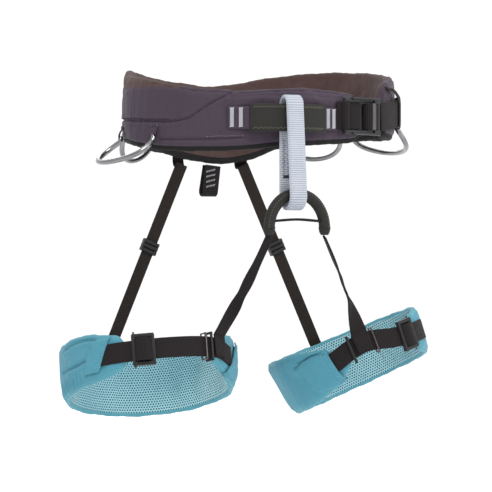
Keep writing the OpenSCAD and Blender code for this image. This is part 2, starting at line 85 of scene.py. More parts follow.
class Paint:
    """A material's node tree. Its methods take sockets or numbers and give sockets."""

    def __init__(self, name):
        self.material = bpy.data.materials.new(name)
        self.material.use_nodes = True
        self.tree = self.material.node_tree
        self.tree.nodes.clear()
        self.output = self.tree.nodes.new("ShaderNodeOutputMaterial")
        self.shader = self.tree.nodes.new("ShaderNodeBsdfPrincipled")
        self.tree.links.new(self.shader.outputs[0], self.output.inputs[0])

    def put(self, value, socket):
        if isinstance(value, bpy.types.NodeSocket):
            self.tree.links.new(value, socket)
        else:
            socket.default_value = value

    def math(self, operation, a, b=0.0):
        n = self.tree.nodes.new("ShaderNodeMath")
        n.operation = operation
        self.put(a, n.inputs[0])
        self.put(b, n.inputs[1])
        return n.outputs[0]

    def plus(self, a, b):
        return self.math("ADD", a, b)

    def times(self, a, b):
        return self.math("MULTIPLY", a, b)

    def uv(self):
        """Lengths in metres along the piece and across it."""
        n = self.tree.nodes.new("ShaderNodeTexCoord")
        parts = self.tree.nodes.new("ShaderNodeSeparateXYZ")
        self.tree.links.new(n.outputs["UV"], parts.inputs[0])
        return parts.outputs[0], parts.outputs[1]

    def wave(self, run, pitch, shift=0.0):
        """From 0 to 1 and back once in each pitch."""
        angle = self.plus(self.times(run, TURN / pitch), shift)
        return self.plus(self.times(self.math("SINE", angle), 0.5), 0.5)

    def noise(self, scale, detail=2.0):
        where = self.tree.nodes.new("ShaderNodeTexCoord")
        n = self.tree.nodes.new("ShaderNodeTexNoise")
        self.tree.links.new(where.outputs["Object"], n.inputs["Vector"])
        n.inputs["Scale"].default_value = scale
        n.inputs["Detail"].default_value = detail
        return n.outputs["Fac"]

    def blend(self, factor, a, b):
        n = self.tree.nodes.new("ShaderNodeMix")
        n.data_type = "RGBA"
        self.put(factor, n.inputs[0])
        self.put(a, n.inputs[6])
        self.put(b, n.inputs[7])
        return n.outputs[2]

    def spread(self, value, low, high):
        """A number from 0..1 moved to low..high."""
        return self.plus(self.times(value, high - low), low)

    def bump(self, height, depth):
        n = self.tree.nodes.new("ShaderNodeBump")
        n.inputs["Strength"].default_value = 1.0
        n.inputs["Distance"].default_value = depth
        self.put(height, n.inputs["Height"])
        self.tree.links.new(n.outputs[0], self.shader.inputs["Normal"])

    def finish(self, colour, roughness, **constants):
        self.put(colour, self.shader.inputs["Base Color"])
        self.put(roughness, self.shader.inputs["Roughness"])
        for name, value in constants.items():
            self.shader.inputs[name.replace("_", " ")].default_value = value
        return self.material


FABRIC_ROUGHNESS = (0.6, 0.85)
MOTTLE = 0.35


def woven(name, light, dark, pitch=0.0009, depth=0.00012, sheen=0.12):
    """A fine plain weave with a soft sheen and slight fading."""
    p = Paint(name)
    u, v = p.uv()
    over = p.times(p.wave(u, pitch), p.wave(v, pitch))
    under = p.times(p.wave(u, pitch, np.pi), p.wave(v, pitch, np.pi))
    height = p.plus(over, under)
    patch = p.noise(28, 4)
    tone = p.plus(p.times(height, 1 - MOTTLE), p.times(patch, MOTTLE * 1.3))
    p.bump(p.plus(height, p.times(p.noise(180, 3), 1.4)), depth)
    colour = p.blend(tone, linear(dark), linear(light))
    return p.finish(colour, p.spread(patch, *FABRIC_ROUGHNESS), Sheen_Weight=sheen, Sheen_Roughness=0.4,
                    Specular_IOR_Level=0.2)


def ribbed(name, light, dark, pitch=0.0016, depth=0.0003):
    """Flat webbing: ribs across its width, each broken by fine warp threads."""
    p = Paint(name)
    u, v = p.uv()
    ribs = p.wave(u, pitch)
    warp = p.wave(v, 0.0011)
    height = p.plus(p.times(ribs, 0.75), p.times(warp, 0.25))
    patch = p.noise(60, 3)
    p.bump(height, depth)
    tone = p.plus(p.times(height, 0.75), p.times(patch, 0.3))
    colour = p.blend(tone, linear(dark), linear(light))
    return p.finish(colour, p.spread(patch, *FABRIC_ROUGHNESS), Sheen_Weight=0.02, Specular_IOR_Level=0.12)


def sewing(name, light, dark):
    return ribbed(name, light, dark, pitch=0.0006, depth=0.0001)


def knitted(name, light, dark):
    """A brushed knit with upright wales and slanted courses."""
    pitch = 0.0018
    p = Paint(name)
    u, v = p.uv()
    slant = p.plus(p.times(u, 0.9), v)
    wale = p.wave(u, pitch * 0.6)
    course = p.wave(slant, pitch * 0.8)
    height = p.times(p.times(p.plus(wale, 0.35), p.plus(course, 0.35)), 0.6)
    patch = p.noise(40, 5)
    p.bump(height, 0.0004)
    tone = p.plus(p.times(height, 0.8), p.times(patch, 0.45))
    colour = p.blend(tone, linear(dark), linear(light))
    return p.finish(colour, p.spread(patch, 0.75, 0.95), Sheen_Weight=0.15, Specular_IOR_Level=0.1)


def spacer_mesh(name, light, deep, dark):
    """Spacer mesh: round holes in a hexagonal pattern, made of two offset oblong lattices."""
    hole = 0.0008
    wide = 0.0029
    tall = wide * np.sqrt(3)
    p = Paint(name)
    u, v = p.uv()

    def from_centre(shift):
        a = p.math("SUBTRACT", p.math("FRACT", p.plus(p.times(u, 1 / wide), shift)), 0.5)
        b = p.math("SUBTRACT", p.math("FRACT", p.plus(p.times(v, 1 / tall), shift)), 0.5)
        a2 = p.math("POWER", p.math("ABSOLUTE", p.times(a, wide)), 2.0)
        b2 = p.math("POWER", p.math("ABSOLUTE", p.times(b, tall)), 2.0)
        return p.math("SQRT", p.plus(a2, b2))

    nearest = p.math("MINIMUM", from_centre(10.0), from_centre(10.5))
    ramp = p.tree.nodes.new("ShaderNodeMapRange")
    ramp.interpolation_type = "SMOOTHSTEP"
    p.put(nearest, ramp.inputs["Value"])
    ramp.inputs["From Min"].default_value = hole * 0.6
    ramp.inputs["From Max"].default_value = hole * 1.5
    solid = ramp.outputs[0]
    thread = p.wave(p.plus(u, v), 0.0007)
    patch = p.noise(22, 4)
    p.bump(p.plus(solid, p.times(thread, 0.12)), 0.0006)
    tone = p.times(solid, p.spread(patch, 0.75, 1.15))
    broad = p.times(p.math("SUBTRACT", p.noise(9, 1), 0.42), 2.2)
    shade = p.math("MINIMUM", p.math("MAXIMUM", broad, 0.0), 0.8)
    thread_colour = p.blend(shade, linear(light), linear(deep))
    colour = p.blend(tone, linear(dark), thread_colour)
    return p.finish(colour, p.spread(patch, 0.7, 0.95), Sheen_Weight=0.1, Specular_IOR_Level=0.1)


def moulded(name, light, dark, rough, metallic=0.0):
    """Moulded plastic or metal with a fine grain and small wear marks."""
    p = Paint(name)
    grain = p.noise(900, 2)
    patch = p.noise(45, 5)
    p.bump(grain, 0.00005)
    colour = p.blend(patch, linear(dark), linear(light))
    shine = 0.5 if metallic else 0.25
    return p.finish(colour, p.spread(patch, *rough), Metallic=metallic, Specular_IOR_Level=shine)


PURPLE = woven("purple_face", (72, 61, 74), (40, 33, 43))
PURPLE_TAB = woven("purple_tab", (64, 54, 66), (38, 32, 41), sheen=0.1)
BROWN = knitted("brown_knit", (88, 67, 64), (38, 27, 25))
TAPE = ribbed("black_tape", (34, 32, 33), (14, 13, 14), pitch=0.0011, depth=0.00012)
BLACK = ribbed("black_webbing", (38, 33, 34), (13, 11, 12))
OLIVE = woven("olive_cover", (46, 45, 42), (20, 20, 19), pitch=0.0012, depth=0.00016, sheen=0.03)
ELASTIC = ribbed("elastic", (46, 39, 36), (18, 15, 13), pitch=0.0013)
WHITE = ribbed("white_webbing", (190, 194, 201), (112, 120, 136), pitch=0.0021, depth=0.0003)
LIGHT_THREAD = sewing("light_thread", (205, 204, 210), (150, 149, 160))
GREY_THREAD = sewing("grey_thread", (122, 118, 124), (86, 82, 90))
DARK_THREAD = sewing("dark_thread", (74, 76, 86), (38, 40, 50))
SEAM_THREAD = sewing("seam_thread", (34, 29, 36), (20, 17, 22))
OLIVE_THREAD = sewing("olive_thread", (112, 110, 96), (74, 74, 64))
TEAL = woven("teal_face", (86, 150, 168), (44, 106, 124))
TEAL_EDGE = woven("teal_edge", (92, 154, 168), (54, 116, 132))
TEAL_THREAD = sewing("teal_thread", (128, 184, 196), (70, 130, 146))
MESH = spacer_mesh("pale_mesh", (158, 200, 208), (98, 160, 176), (30, 84, 100))
SILVER = moulded("silver_rod", (158, 157, 160), (88, 87, 90), (0.12, 0.26), metallic=0.95)
STEEL = moulded("steel", (96, 92, 90), (52, 50, 49), (0.2, 0.35), metallic=0.6)
COATED = moulded("coated_metal", (44, 44, 46), (22, 22, 24), (0.3, 0.45))
BAR_METAL = moulded("bar_metal", (92, 92, 95), (58, 58, 61), (0.3, 0.45))
PLASTIC = moulded("black_plastic", (34, 34, 36), (16, 16, 18), (0.3, 0.5))

p = Paint("floor")
p.finish(p.blend(p.noise(3), (0.97, 0.97, 0.97, 1), (1, 1, 1, 1)), p.spread(p.noise(5), 0.8, 0.95))
bpy.ops.mesh.primitive_circle_add(vertices=96, radius=9, fill_type="NGON", location=(0, 0, -0.42))
floor = bpy.context.object
floor.name = "floor"
floor.data.materials.append(p.material)


# ---- curves ----


def along(keys, t):
    """A smooth curve through (t, value) keys, for one t or many."""
    x, y = np.array(keys, float).T
    n = len(x)
    before = np.maximum(np.arange(n) - 1, 0)
    after = np.minimum(np.arange(n) + 1, n - 1)
    slope = (y[after] - y[before]) / (x[after] - x[before])
    i = np.clip(np.searchsorted(x, t, side="right") - 1, 0, n - 2)
    w = x[i + 1] - x[i]
    s = np.clip((t - x[i]) / w, 0, 1)
    s2, s3 = s * s, s * s * s
    ends = y[i] * (2 * s3 - 3 * s2 + 1) + y[i + 1] * (3 * s2 - 2 * s3)
    return ends + w * (slope[i] * (s3 - 2 * s2 + s) + slope[i + 1] * (s3 - s2))


def unit(v):
    return v / np.maximum(np.linalg.norm(v, axis=-1, keepdims=True), 1e-9)


def smooth(x, low, high):
    s = np.clip((np.asarray(x, float) - low) / (high - low), 0, 1)
    return s * s * (3 - 2 * s)


def line(points, count):
    """A smooth line through a few points, evenly spread over them."""
    points = np.array(points, float)
    gaps = np.linalg.norm(np.diff(points, axis=0), axis=1)
    run = np.concatenate([[0], np.cumsum(gaps)])
    t = np.linspace(0, run[-1], count)
    return np.stack([along(np.stack([run, points[:, k]], 1), t) for k in range(3)], 1)


def mixed(a, b, t):
    return np.asarray(a, float) + (np.asarray(b, float) - np.asarray(a, float)) * t


def run_of(path):
    return np.concatenate([[0], np.cumsum(np.linalg.norm(np.diff(path, axis=0), axis=1))])


# ---- meshes, drawn in millimetres ----


def add_mesh(name, points, faces, uvs, material, flat=False):
    """uvs has one (u, v) in metres for each corner of each face."""
    mesh = bpy.data.meshes.new(name)
    corners = [tuple(q) for q in np.asarray(points, float) * MM]
    mesh.from_pydata(corners, [], [list(map(int, f)) for f in faces])
    layer = mesh.uv_layers.new(name="UVMap")
    layer.data.foreach_set("uv", np.asarray(uvs, np.float32).ravel())
    mesh.materials.append(material)
    work = bmesh.new()
    work.from_mesh(mesh)
    bmesh.ops.recalc_face_normals(work, faces=work.faces)
    work.to_mesh(mesh)
    work.free()
    mesh.polygons.foreach_set("use_smooth", [True] * len(mesh.polygons))
    if flat:
        mesh.set_sharp_from_angle(angle=np.radians(32))
    o = bpy.data.objects.new(name, mesh)
    bpy.context.scene.collection.objects.link(o)
    return o


def quads(P, U, V, closed_v=True, closed_u=False, rows=None):
    """The faces of a grid of points and their corner UVs, for rows of faces from rows[0] to rows[1]."""
    nu, nv = P.shape[:2]
    iu = np.arange(nu if closed_u else nu - 1)
    iv = np.arange(nv if closed_v else nv - 1) if rows is None else np.arange(*rows)
    I, J = np.meshgrid(iu, iv, indexing="ij")
    K, L = I + 1, J + 1
    faces = np.stack([I * nv + J, (K % nu) * nv + J, (K % nu) * nv + L % nv, I * nv + L % nv], -1)
    uvs = np.stack([np.stack([U[i, j], V[i, j]], -1) for i, j in ((I, J), (K, J), (K, L), (I, L))], -2)
    return faces.reshape(-1, 4), uvs.reshape(-1, 4, 2)


def add_grid(name, P, U, V, material, closed_v=True, closed_u=False, rows=None, caps=False):
    """The grid of points as a mesh, with the faces that quads gives and, if wanted, its two ends closed."""
    faces, uvs = quads(P, U, V, closed_v, closed_u, rows)
    points = P.reshape(-1, 3)
    used, back = np.unique(faces, return_inverse=True)
    faces = [list(f) for f in back.reshape(faces.shape)]
    uvs = list(uvs.reshape(-1, 2))
    if caps:
        nu, nv = P.shape[:2]
        for i in (0, nu - 1):
            faces.append([i * nv + j for j in range(nv)])
            uvs += [(0.001 * j, 0) for j in range(nv)]
    return add_mesh(name, points[used], faces, np.array(uvs), material)


def put(o, body, slot, *nodes):
    """The piece rides on a body and stands for CAD nodes, which it hides; slot is not used."""
    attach(o, body)
    if nodes:
        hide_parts(*nodes)
    return o


def ribbon(name, path, across, width, thick, material, closed=False, edge=9):
    """Flat webbing with rounded edges along a path; across is the direction of its width."""
    path = np.asarray(path, float)
    n = len(path)
    width = np.broadcast_to(np.asarray(width, float), (n,))
    thick = np.broadcast_to(np.asarray(thick, float), (n,))
    across = np.broadcast_to(np.asarray(across, float), (n, 3))
    if closed:
        ahead = unit(np.roll(path, -1, 0) - np.roll(path, 1, 0))
    else:
        ahead = unit(np.gradient(path, axis=0))
    side = unit(across - ahead * np.sum(across * ahead, -1, keepdims=True))
    out = np.cross(side, ahead)
    flat = np.linspace(-1, 1, edge)
    turn = np.radians([60, 25, -25, -60])
    # shares of the half width less the edge's radius, then of the radius itself
    s = np.concatenate([flat, np.ones(4), flat[::-1], -np.ones(4)])
    e = np.concatenate([0 * flat, np.cos(turn), 0 * flat, -np.cos(turn)])
    t = np.concatenate([0 * flat + 1, np.sin(turn), 0 * flat - 1, -np.sin(turn)])
    r = thick[:, None] / 2
    lateral = s * (width[:, None] / 2 - r) + e * r
    P = path[:, None] + side[:, None] * lateral[..., None] + out[:, None] * (t * r)[..., None]
    U = run_of(np.vstack([path, path[:1]]) if closed else path) * MM
    V = (lateral + width[:, None] / 2) * MM
    V = np.concatenate([V, V[:, :1]], 1)
    if closed:
        V = np.concatenate([V, V[:1]], 0)
    U = np.broadcast_to(U[:, None], (len(U), V.shape[1]))
    return add_grid(name, P, U, V, material, closed_u=closed, caps=not closed)


def tube(name, path, radius, material, sides, lean=(0.02, 0.01, 1), squash=1.0):
    """A round or oval cord along a path. lean is any direction that the path doesn't start in."""
    path = np.asarray(path, float)
    n = len(path)
    ahead = unit(np.gradient(path, axis=0))
    side = np.zeros_like(path)
    last = unit(np.cross(np.array(lean, float), ahead[0]))
    for i in range(n):
        last = unit(last - ahead[i] * np.dot(last, ahead[i]))
        side[i] = last
    out = np.cross(side, ahead)
    a = np.arange(sides) * TURN / sides
    r = np.broadcast_to(np.asarray(radius, float), (n,))[:, None, None]
    P = path[:, None] + r * (side[:, None] * np.cos(a)[:, None] + squash * out[:, None] * np.sin(a)[:, None])
    V = np.arange(sides + 1) * TURN / sides * float(np.mean(r)) * MM
    U, V = np.meshgrid(run_of(path) * MM, V, indexing="ij")
    return add_grid(name, P, U, V, material, caps=True)


def blocks(name, parts, place, material):
    """Bevelled boxes and round bars in one piece. A box is (centre, size, bevel), and a bar, which stands
    upright, is (centre, diameter, length)."""
    work = bmesh.new()
    for centre, size, third in parts:
        one = bmesh.new()
        if np.isscalar(size):
            bmesh.ops.create_cone(one, cap_ends=True, segments=20, radius1=size / 2, radius2=size / 2,
                                  depth=third)
        else:
            bmesh.ops.create_cube(one, size=1)
            bmesh.ops.scale(one, vec=size, verts=one.verts)
            bmesh.ops.bevel(one, geom=one.edges[:], offset=third, segments=3, profile=0.6, affect="EDGES")
        bmesh.ops.translate(one, vec=centre, verts=one.verts)
        temp = bpy.data.meshes.new("part")
        one.to_mesh(temp)
        one.free()
        work.from_mesh(temp)
        bpy.data.meshes.remove(temp)
    points = np.array([place(v.co) for v in work.verts])
    work.verts.index_update()
    faces = [[v.index for v in f.verts] for f in work.faces]
    normals = [np.argmax(np.abs(f.normal)) for f in work.faces]
    flat = np.array([v.co for v in work.verts])
    uvs = [flat[i][[k for k in range(3) if k != axis]] * MM for f, axis in zip(faces, normals) for i in f]
    work.free()
    return add_mesh(name, points, faces, np.array(uvs), material, flat=True)


def thread(name, path, material, radius=0.3):
    return tube(name, path, radius, material, sides=6)


def zigzag(start, end, across, lift, width, pitch):
    """A zigzag's corner points from start to end, width wide."""
    start, end, across, lift = (np.asarray(v, float) for v in (start, end, across, lift))
    count = max(int(np.linalg.norm(end - start) / pitch * 2), 2)
    t = np.linspace(0, 1, count + 1)[:, None]
    flip = np.where(np.arange(count + 1) % 2, 0.5, -0.5)[:, None]
    return start + (end - start) * t + across * width * flip + lift


def dashes(name, path, out, material, dash=2.2, gap=1.2, radius=0.32):
    """A row of stitches along a path on a surface that faces out."""
    path = np.asarray(path, float)
    out = np.broadcast_to(np.asarray(out, float), path.shape)
    run = run_of(path)
    points, faces, uvs = [], [], []
    for start in np.arange(0, run[-1] - dash, dash + gap):
        t = start + dash * np.array([0, 0.25, 0.75, 1])
        centre = np.stack([np.interp(t, run, path[:, k]) for k in range(3)], 1)
        up = unit(np.stack([np.interp(t, run, out[:, k]) for k in range(3)], 1))
        ahead = unit(np.gradient(centre, axis=0))
        side = unit(np.cross(ahead, up))
        arch = np.array([-0.25, 0.3, 0.3, -0.25])[:, None]
        size = np.array([0.45, 1, 1, 0.45])[:, None] * radius
        base = len(points)
        for c, s, u, r in zip(centre + up * arch, side, up, size[:, 0]):
            for k in range(6):
                points.append(c + r * (s * np.cos(k * TURN / 6) + u * np.sin(k * TURN / 6)))
        for i in range(3):
            for k in range(6):
                one = base + i * 6
                after = (k + 1) % 6
                faces.append([one + k, one + after, one + 6 + after, one + 6 + k])
                u, v = i * 0.0007, k * 0.0003
                uvs += [(u, v), (u, v + 0.0003), (u + 0.0007, v + 0.0003), (u + 0.0007, v)]
    return add_mesh(name, points, faces, np.array(uvs), material)


# ---- padding: rounded sections, puffed up by a cloth simulation ----


def section(height, thick, cuts, counts, sharp=3.6):
    """Rounded section of a pad: up its outer face, over the top and down the inner face. It gives the points'
    places outwards and up, and how far each is from the bottom. cuts are the heights, from the bottom, at which
    rows change piece: outer ones rising, then inner ones falling."""
    phi = np.linspace(-np.pi / 2, 3 * np.pi / 2, 1441)
    c, s = np.cos(phi), np.sin(phi)
    out = thick / 2 * np.sign(c) * np.abs(c) ** (2 / sharp)
    up = height / 2 * np.sign(s) * np.abs(s) ** (2 / sharp)
    run = np.concatenate([[0], np.cumsum(np.hypot(np.diff(out), np.diff(up)))])
    half = len(phi) // 2
    rising, falling = cuts
    stops = [0, *[np.interp(z - height / 2, up[: half + 1], run[: half + 1]) for z in rising], run[half]]
    stops += [np.interp(height / 2 - z, -up[half:], run[half:]) for z in falling] + [run[-1]]
    spans = zip(stops, stops[1:], counts)
    at = np.concatenate([np.linspace(a, b, n, endpoint=False) for a, b, n in spans])
    return np.interp(at, run, out), np.interp(at, run, up), np.minimum(at, run[-1] - at)


def finer(values, closed):
    """Twice as many rows along the second axis, on a smooth curve through the old ones."""
    if closed:
        a, b, c, d = (np.roll(values, k, 1) for k in (1, 0, -1, -2))
    else:
        before, after = 2 * values[:, :1] - values[:, 1:2], 2 * values[:, -1:] - values[:, -2:-1]
        padded = np.concatenate([before, values, after], 1)
        a, b, c, d = padded[:, :-3], padded[:, 1:-2], padded[:, 2:-1], padded[:, 3:]
    middle = (9 * (b + c) - a - d) / 16
    both = np.stack([b, middle], 2).reshape(values.shape[0], -1, *values.shape[2:])
    return both if closed else np.concatenate([both, values[:, -1:]], 1)


def finer_grid(values):
    return finer(np.swapaxes(finer(np.swapaxes(values, 0, 1), False), 0, 1), True)


PRESSURE, LAST_FRAME = 4.0, 20


def puffed(P, held, limit, shrink):
    """The grid of points after a cloth simulation with inside pressure; held is 1 where it is sewn down."""
    nu, nv = P.shape[:2]
    zero = np.zeros((nu, nv + 1))
    o = add_grid("cloth_work", P, zero, zero, PURPLE)
    group = o.vertex_groups.new(name="held")
    for weight in np.unique(held):
        group.add([int(k) for k in np.flatnonzero(held.ravel() == weight)], float(weight), "REPLACE")
    cloth = o.modifiers.new("cloth", "CLOTH")
    s = cloth.settings
    s.quality = 6
    s.mass = 0.15
    s.tension_stiffness = s.compression_stiffness = 12
    s.shear_stiffness = 6
    s.bending_stiffness = 0.3
    s.vertex_group_mass = "held"
    s.shrink_min = shrink
    s.use_pressure = True
    s.uniform_pressure_force = PRESSURE
    s.effector_weights.gravity = 0
    cloth.point_cache.frame_start, cloth.point_cache.frame_end = 1, LAST_FRAME
    for f in range(1, LAST_FRAME + 1):
        bpy.context.scene.frame_set(f)
    done = o.evaluated_get(bpy.context.evaluated_depsgraph_get()).to_mesh()
    moved = np.empty(nu * nv * 3)
    done.vertices.foreach_get("co", moved)
    bpy.context.scene.frame_set(1)
    bpy.data.objects.remove(o)
    step = moved.reshape(P.shape) / MM - P
    size = np.linalg.norm(step, axis=-1, keepdims=True)
    return P + step * np.minimum(1, limit / np.maximum(size, 1e-9))


class Pad:
    """A padded band round a ring. place(angle, off, z) gives points. Each seam is its line's keys and how far
    from the line, in millimetres, the face stays sewn down."""

    def __init__(self, place, angles, low, high, outer, inner, cuts, counts, seams, limit, shrink):
        sections = []
        for a, lo, hi in zip(angles, low, high):
            out, up, away = section(hi - lo, outer - inner, cuts(a, hi - lo), counts)
            sections.append((out + (outer + inner) / 2, up + (hi + lo) / 2, away))
        off, z, away = (np.array(k) for k in zip(*sections))
        a = np.broadcast_to(np.asarray(angles)[:, None], z.shape)
        rows = np.cumsum([0, *counts])
        held = np.zeros(z.shape)
        held[:3] = held[-3:] = 1
        for r in (rows[1], rows[-2]):
            held[:, r - 1 : r + 1] = 1
        held[:, 0] = 1
        top = rows[len(cuts(angles[0], high[0] - low[0])[0]) + 1]
        held[:, top - 2 : top + 3] = 1
        outside = np.arange(z.shape[1]) < top
        for keys, reach in seams:
            keys = np.array(keys, float)
            inside = (a >= keys[0, 0]) & (a <= keys[-1, 0])
            held[(np.abs(z - along(keys, a)) < reach) & inside & outside] = 1
        P = puffed(place(a, off, z), held, limit, shrink)
        self.P, self.a, self.z = finer_grid(P), finer_grid(a), finer_grid(z)
        away = finer_grid(away)
        self.rows = rows * 2
        middle = self.P[:, self.rows[1]]
        self.U = np.broadcast_to((run_of(middle) * MM)[:, None], (len(middle), self.P.shape[1] + 1))
        self.V = np.concatenate([away, away[:, :1]], 1) * MM
        self.outside = np.arange(self.P.shape[1]) < 2 * top

    def normals(self):
        du = np.gradient(self.P, axis=0)
        dv = (np.roll(self.P, -1, 1) - np.roll(self.P, 1, 1)) / 2
        n = unit(np.cross(du, dv))
        centre = self.P.mean(1, keepdims=True)
        return n if np.sum(n * (self.P - centre)) > 0 else -n

    def push(self, amount):
        self.P = self.P + self.normals() * np.asarray(amount)[..., None]

    def groove(self, keys, depth, wide, pile=0.0):
        """A seam line pressed into the outer face, with the padding piled up beside it."""
        keys = np.array(keys, float)
        first, last = keys[0, 0], keys[-1, 0]
        near = smooth(self.a, first - 2, first + 1) * (1 - smooth(self.a, last - 1, last + 2))
        d = (self.z - along(keys, self.a)) / wide
        shape = -depth * np.exp(-d * d) + pile * np.exp(-((np.abs(d) - 3) ** 2) / 3)
        self.push(shape * near * self.outside)

    def piece(self, name, first, last, material, lift=0.0, cols=None):
        """The rows of faces of parts first..last as one piece, its edges tucked in when it is lifted.
        cols picks a run of sections."""
        P = self.P
        r0, r1 = self.rows[first], self.rows[last]
        if lift:
            j = np.arange(P.shape[1])
            P = P + self.normals() * (lift * smooth(np.minimum(j - r0, r1 - j), 0, 2))[None, :, None]
        c = slice(None) if cols is None else slice(*cols)
        return add_grid(name, P[c], self.U[c], self.V[c], material, rows=(r0, r1))

    def at(self, a, z, lift=0.0):
        """The point on the outer face at an angle and a height, and the way it faces."""
        n = self.normals()
        out = []
        cols = self.a[:, 0]
        for one, high in np.broadcast(a, z):
            f = np.interp(one, cols, np.arange(len(cols)))
            i = min(int(f), len(cols) - 2)
            w = f - i
            face = np.flatnonzero(self.outside)
            spot = []
            for grid in (self.P, n):
                here, after = (np.array([np.interp(high, self.z[k, face], grid[k, face, c]) for c in range(3)])
                               for k in (i, i + 1))
                spot.append((1 - w) * here + w * after)
            out.append((spot[0] + lift * unit(spot[1]), unit(spot[1])))
        return np.array([q[0] for q in out]), np.array([q[1] for q in out])


def ripples(a, z, waves):
    """Soft creases: each wave is (per degree, per mm, phase, height)."""
    total = 0
    for ka, kz, phase, size in waves:
        total = total + size * np.sin(ka * a + kz * z + phase)
    return total


# ---- belt ----

HALF_WIDTH, HALF_DEPTH, SHIFT = 141, 100, 10
BELT_TOP = [[46, 27], [57, 35], [75, 41], [98, 47], [122, 50], [143, 49], [160, 44], [175, 37.5],
            [187, 35], [200, 37], [220, 40.5], [238, 44], [255, 45], [270, 39], [285, 32],
            [300, 26], [312, 22], [325, 19.5], [335, 18.5], [350, 21], [366, 21.5], [380, 19], [392, 16]]
BELT_LOW = [[46, -16], [72, -17], [110, -16], [143, -18], [155, -24], [165, -33], [178, -39],
            [192, -37], [208, -31], [222, -27], [240, -23], [262, -23], [281, -28], [298, -32],
            [322, -33], [335, -32], [346, -29], [367, -26], [380, -24], [392, -21]]
# How far the face fabric stops below the pad's upper edge, where the lining rolls over it
ROLL = [[46, 0], [75, 1], [100, 10], [150, 12], [230, 14], [258, 15], [275, 11],
        [290, 6], [305, 1], [318, 0], [392, 0]]
BELT_OUT, BELT_IN = 0.0, -10.5
BINDING = 4.0


def belt_normal(a):
    a = np.radians(a)
    return unit(np.stack([HALF_DEPTH * np.sin(a), -HALF_WIDTH * np.cos(a)], -1))


def belt_point(a, off, z):
    a, off, z = np.broadcast_arrays(np.asarray(a, float), off, z)
    n = belt_normal(a)
    r = np.radians(a)
    return np.stack([SHIFT + HALF_WIDTH * np.sin(r) + off * n[..., 0],
                     -HALF_DEPTH * np.cos(r) + off * n[..., 1], z], -1)


def belt_out(a):
    n = belt_normal(np.asarray(a, float))
    return np.concatenate([n, np.zeros(n.shape[:-1] + (1,))], -1)


UP = np.array([0.0, 0.0, 1.0])


def belt_ahead(a):
    return np.cross(UP, belt_out(a))


angles = np.linspace(46, 392, 190)
# the front end is a rounded lobe, the other end is tucked under the buckle
lobe = np.sqrt(1 - np.clip((53 - angles) / 7.2, 0, 1) ** 2) * 0.86 + 0.14
tuck = 1 - 0.3 * smooth(angles, 384, 392)
top, bottom = along(BELT_TOP, angles), along(BELT_LOW, angles) - BINDING
top = top - 5 * np.exp(-(((angles - 262) / 12) ** 2))
mid = np.where(angles < 120, 5.0, (top + bottom) / 2)
top = mid + (top + 2 - mid) * lobe * tuck
bottom = mid + (bottom - mid) * lobe * tuck
# sewn lines on the face, angle and height; angles continue past 360 on the wearer's left
PANEL_SEAM = [[248, -3], [289, -7], [303, -8], [311, -5], [315, 0.5], [320, 7.5], [325, 13.5], [331, 20.5]]
LOWER_SEAM = [[295, -25], [320, -25.5], [335, -24]]
FRONT_TOP_SEAM = [[328, 15], [345, 17], [366, 17], [384, 14]]


def belt_cuts(a, height):
    roll = max(float(along(ROLL, a)), 0.9)
    edge = min(BINDING + 0.6, height * 0.2)
    return [edge, height - max(roll, height * 0.03)], [edge + 2]


TIE_PRESSED = [[325, -5], [376, -5]]
belt = Pad(belt_point, angles, bottom, top, BELT_OUT + 0.6, BELT_IN, belt_cuts, [2, 22, 6, 24, 2],
           seams=[(PANEL_SEAM, 1.6), (LOWER_SEAM, 1.6), (TIE_PRESSED, 12)], limit=1.6, shrink=-0.006)
belt.groove(PANEL_SEAM, 1.7, 1.1, 0.5)
belt.groove(LOWER_SEAM, 1.5, 1.1, 0.4)
belt.groove(FRONT_TOP_SEAM, 0.5, 1.0, 0.2)
belt.push(ripples(belt.a, belt.z, [(0.35, 0.02, 1.0, 0.25), (0.9, -0.08, 0.3, 0.14),
                                   (1.7, 0.11, 2.0, 0.1), (0.21, 0.16, 4.0, 0.2)]))
# puckers where the tie-in strap is sewn down
for a in (327, 371):
    near = np.exp(-(((belt.a - a) / 5) ** 2)) * np.exp(-(((np.abs(belt.z + 5) - 13) / 6) ** 2)) * belt.outside
    belt.push(0.7 * near * np.sin(belt.a * 2.6 + 0.2 * belt.z))
# pleats that fade away from the seam
pleat = np.exp(-np.abs(belt.z + 9) / 9) * smooth(belt.a, 262, 275) * (1 - smooth(belt.a, 318, 326))
pleat = pleat * belt.outside
belt.push(0.35 * pleat * np.sin(belt.a * 2.1 + 0.8 * np.sin(belt.a * 0.7)))

belt_face = put(belt.piece("belt_face", 1, 2, PURPLE, lift=0.7), "waist_belt", "face_fabric",
                "belt_outer_shell", "belt_foam_core", "belt_load_webbing")
belt_lining = put(belt.piece("belt_lining", 2, 4, BROWN), "waist_belt", "belt_mesh",
                  "belt_inner_lining", "belt_top_binding")
# at the front the face fabric goes right over the upper edge
front_from = int(np.argmax(belt.a[:, 0] > 306))
side_to = int(np.argmax(belt.a[:, 0] > 78))
for name, cols in (("front", (front_from, None)), ("lobe", (0, side_to))):
    put(belt.piece(f"belt_face_{name}_hem", 2, 3, PURPLE, 0.7, cols), "waist_belt", "face_fabric")
put(belt.piece("belt_binding_outer", 0, 1, TAPE, lift=0.3), "waist_belt", "binding", "belt_bottom_binding")
put(belt.piece("belt_binding_inner", 4, 5, TAPE, lift=0.3), "waist_belt", "binding")


def belt_dashes(name, keys, shift, material, lift=0.9):
    keys = np.array(keys, float)
    a = np.arange(keys[0, 0] + 1, keys[-1, 0], 1.2)
    path, out = belt.at(a, along(keys, a) + shift, lift)
    put(dashes(name, path, out, material), "waist_belt", "light_thread")


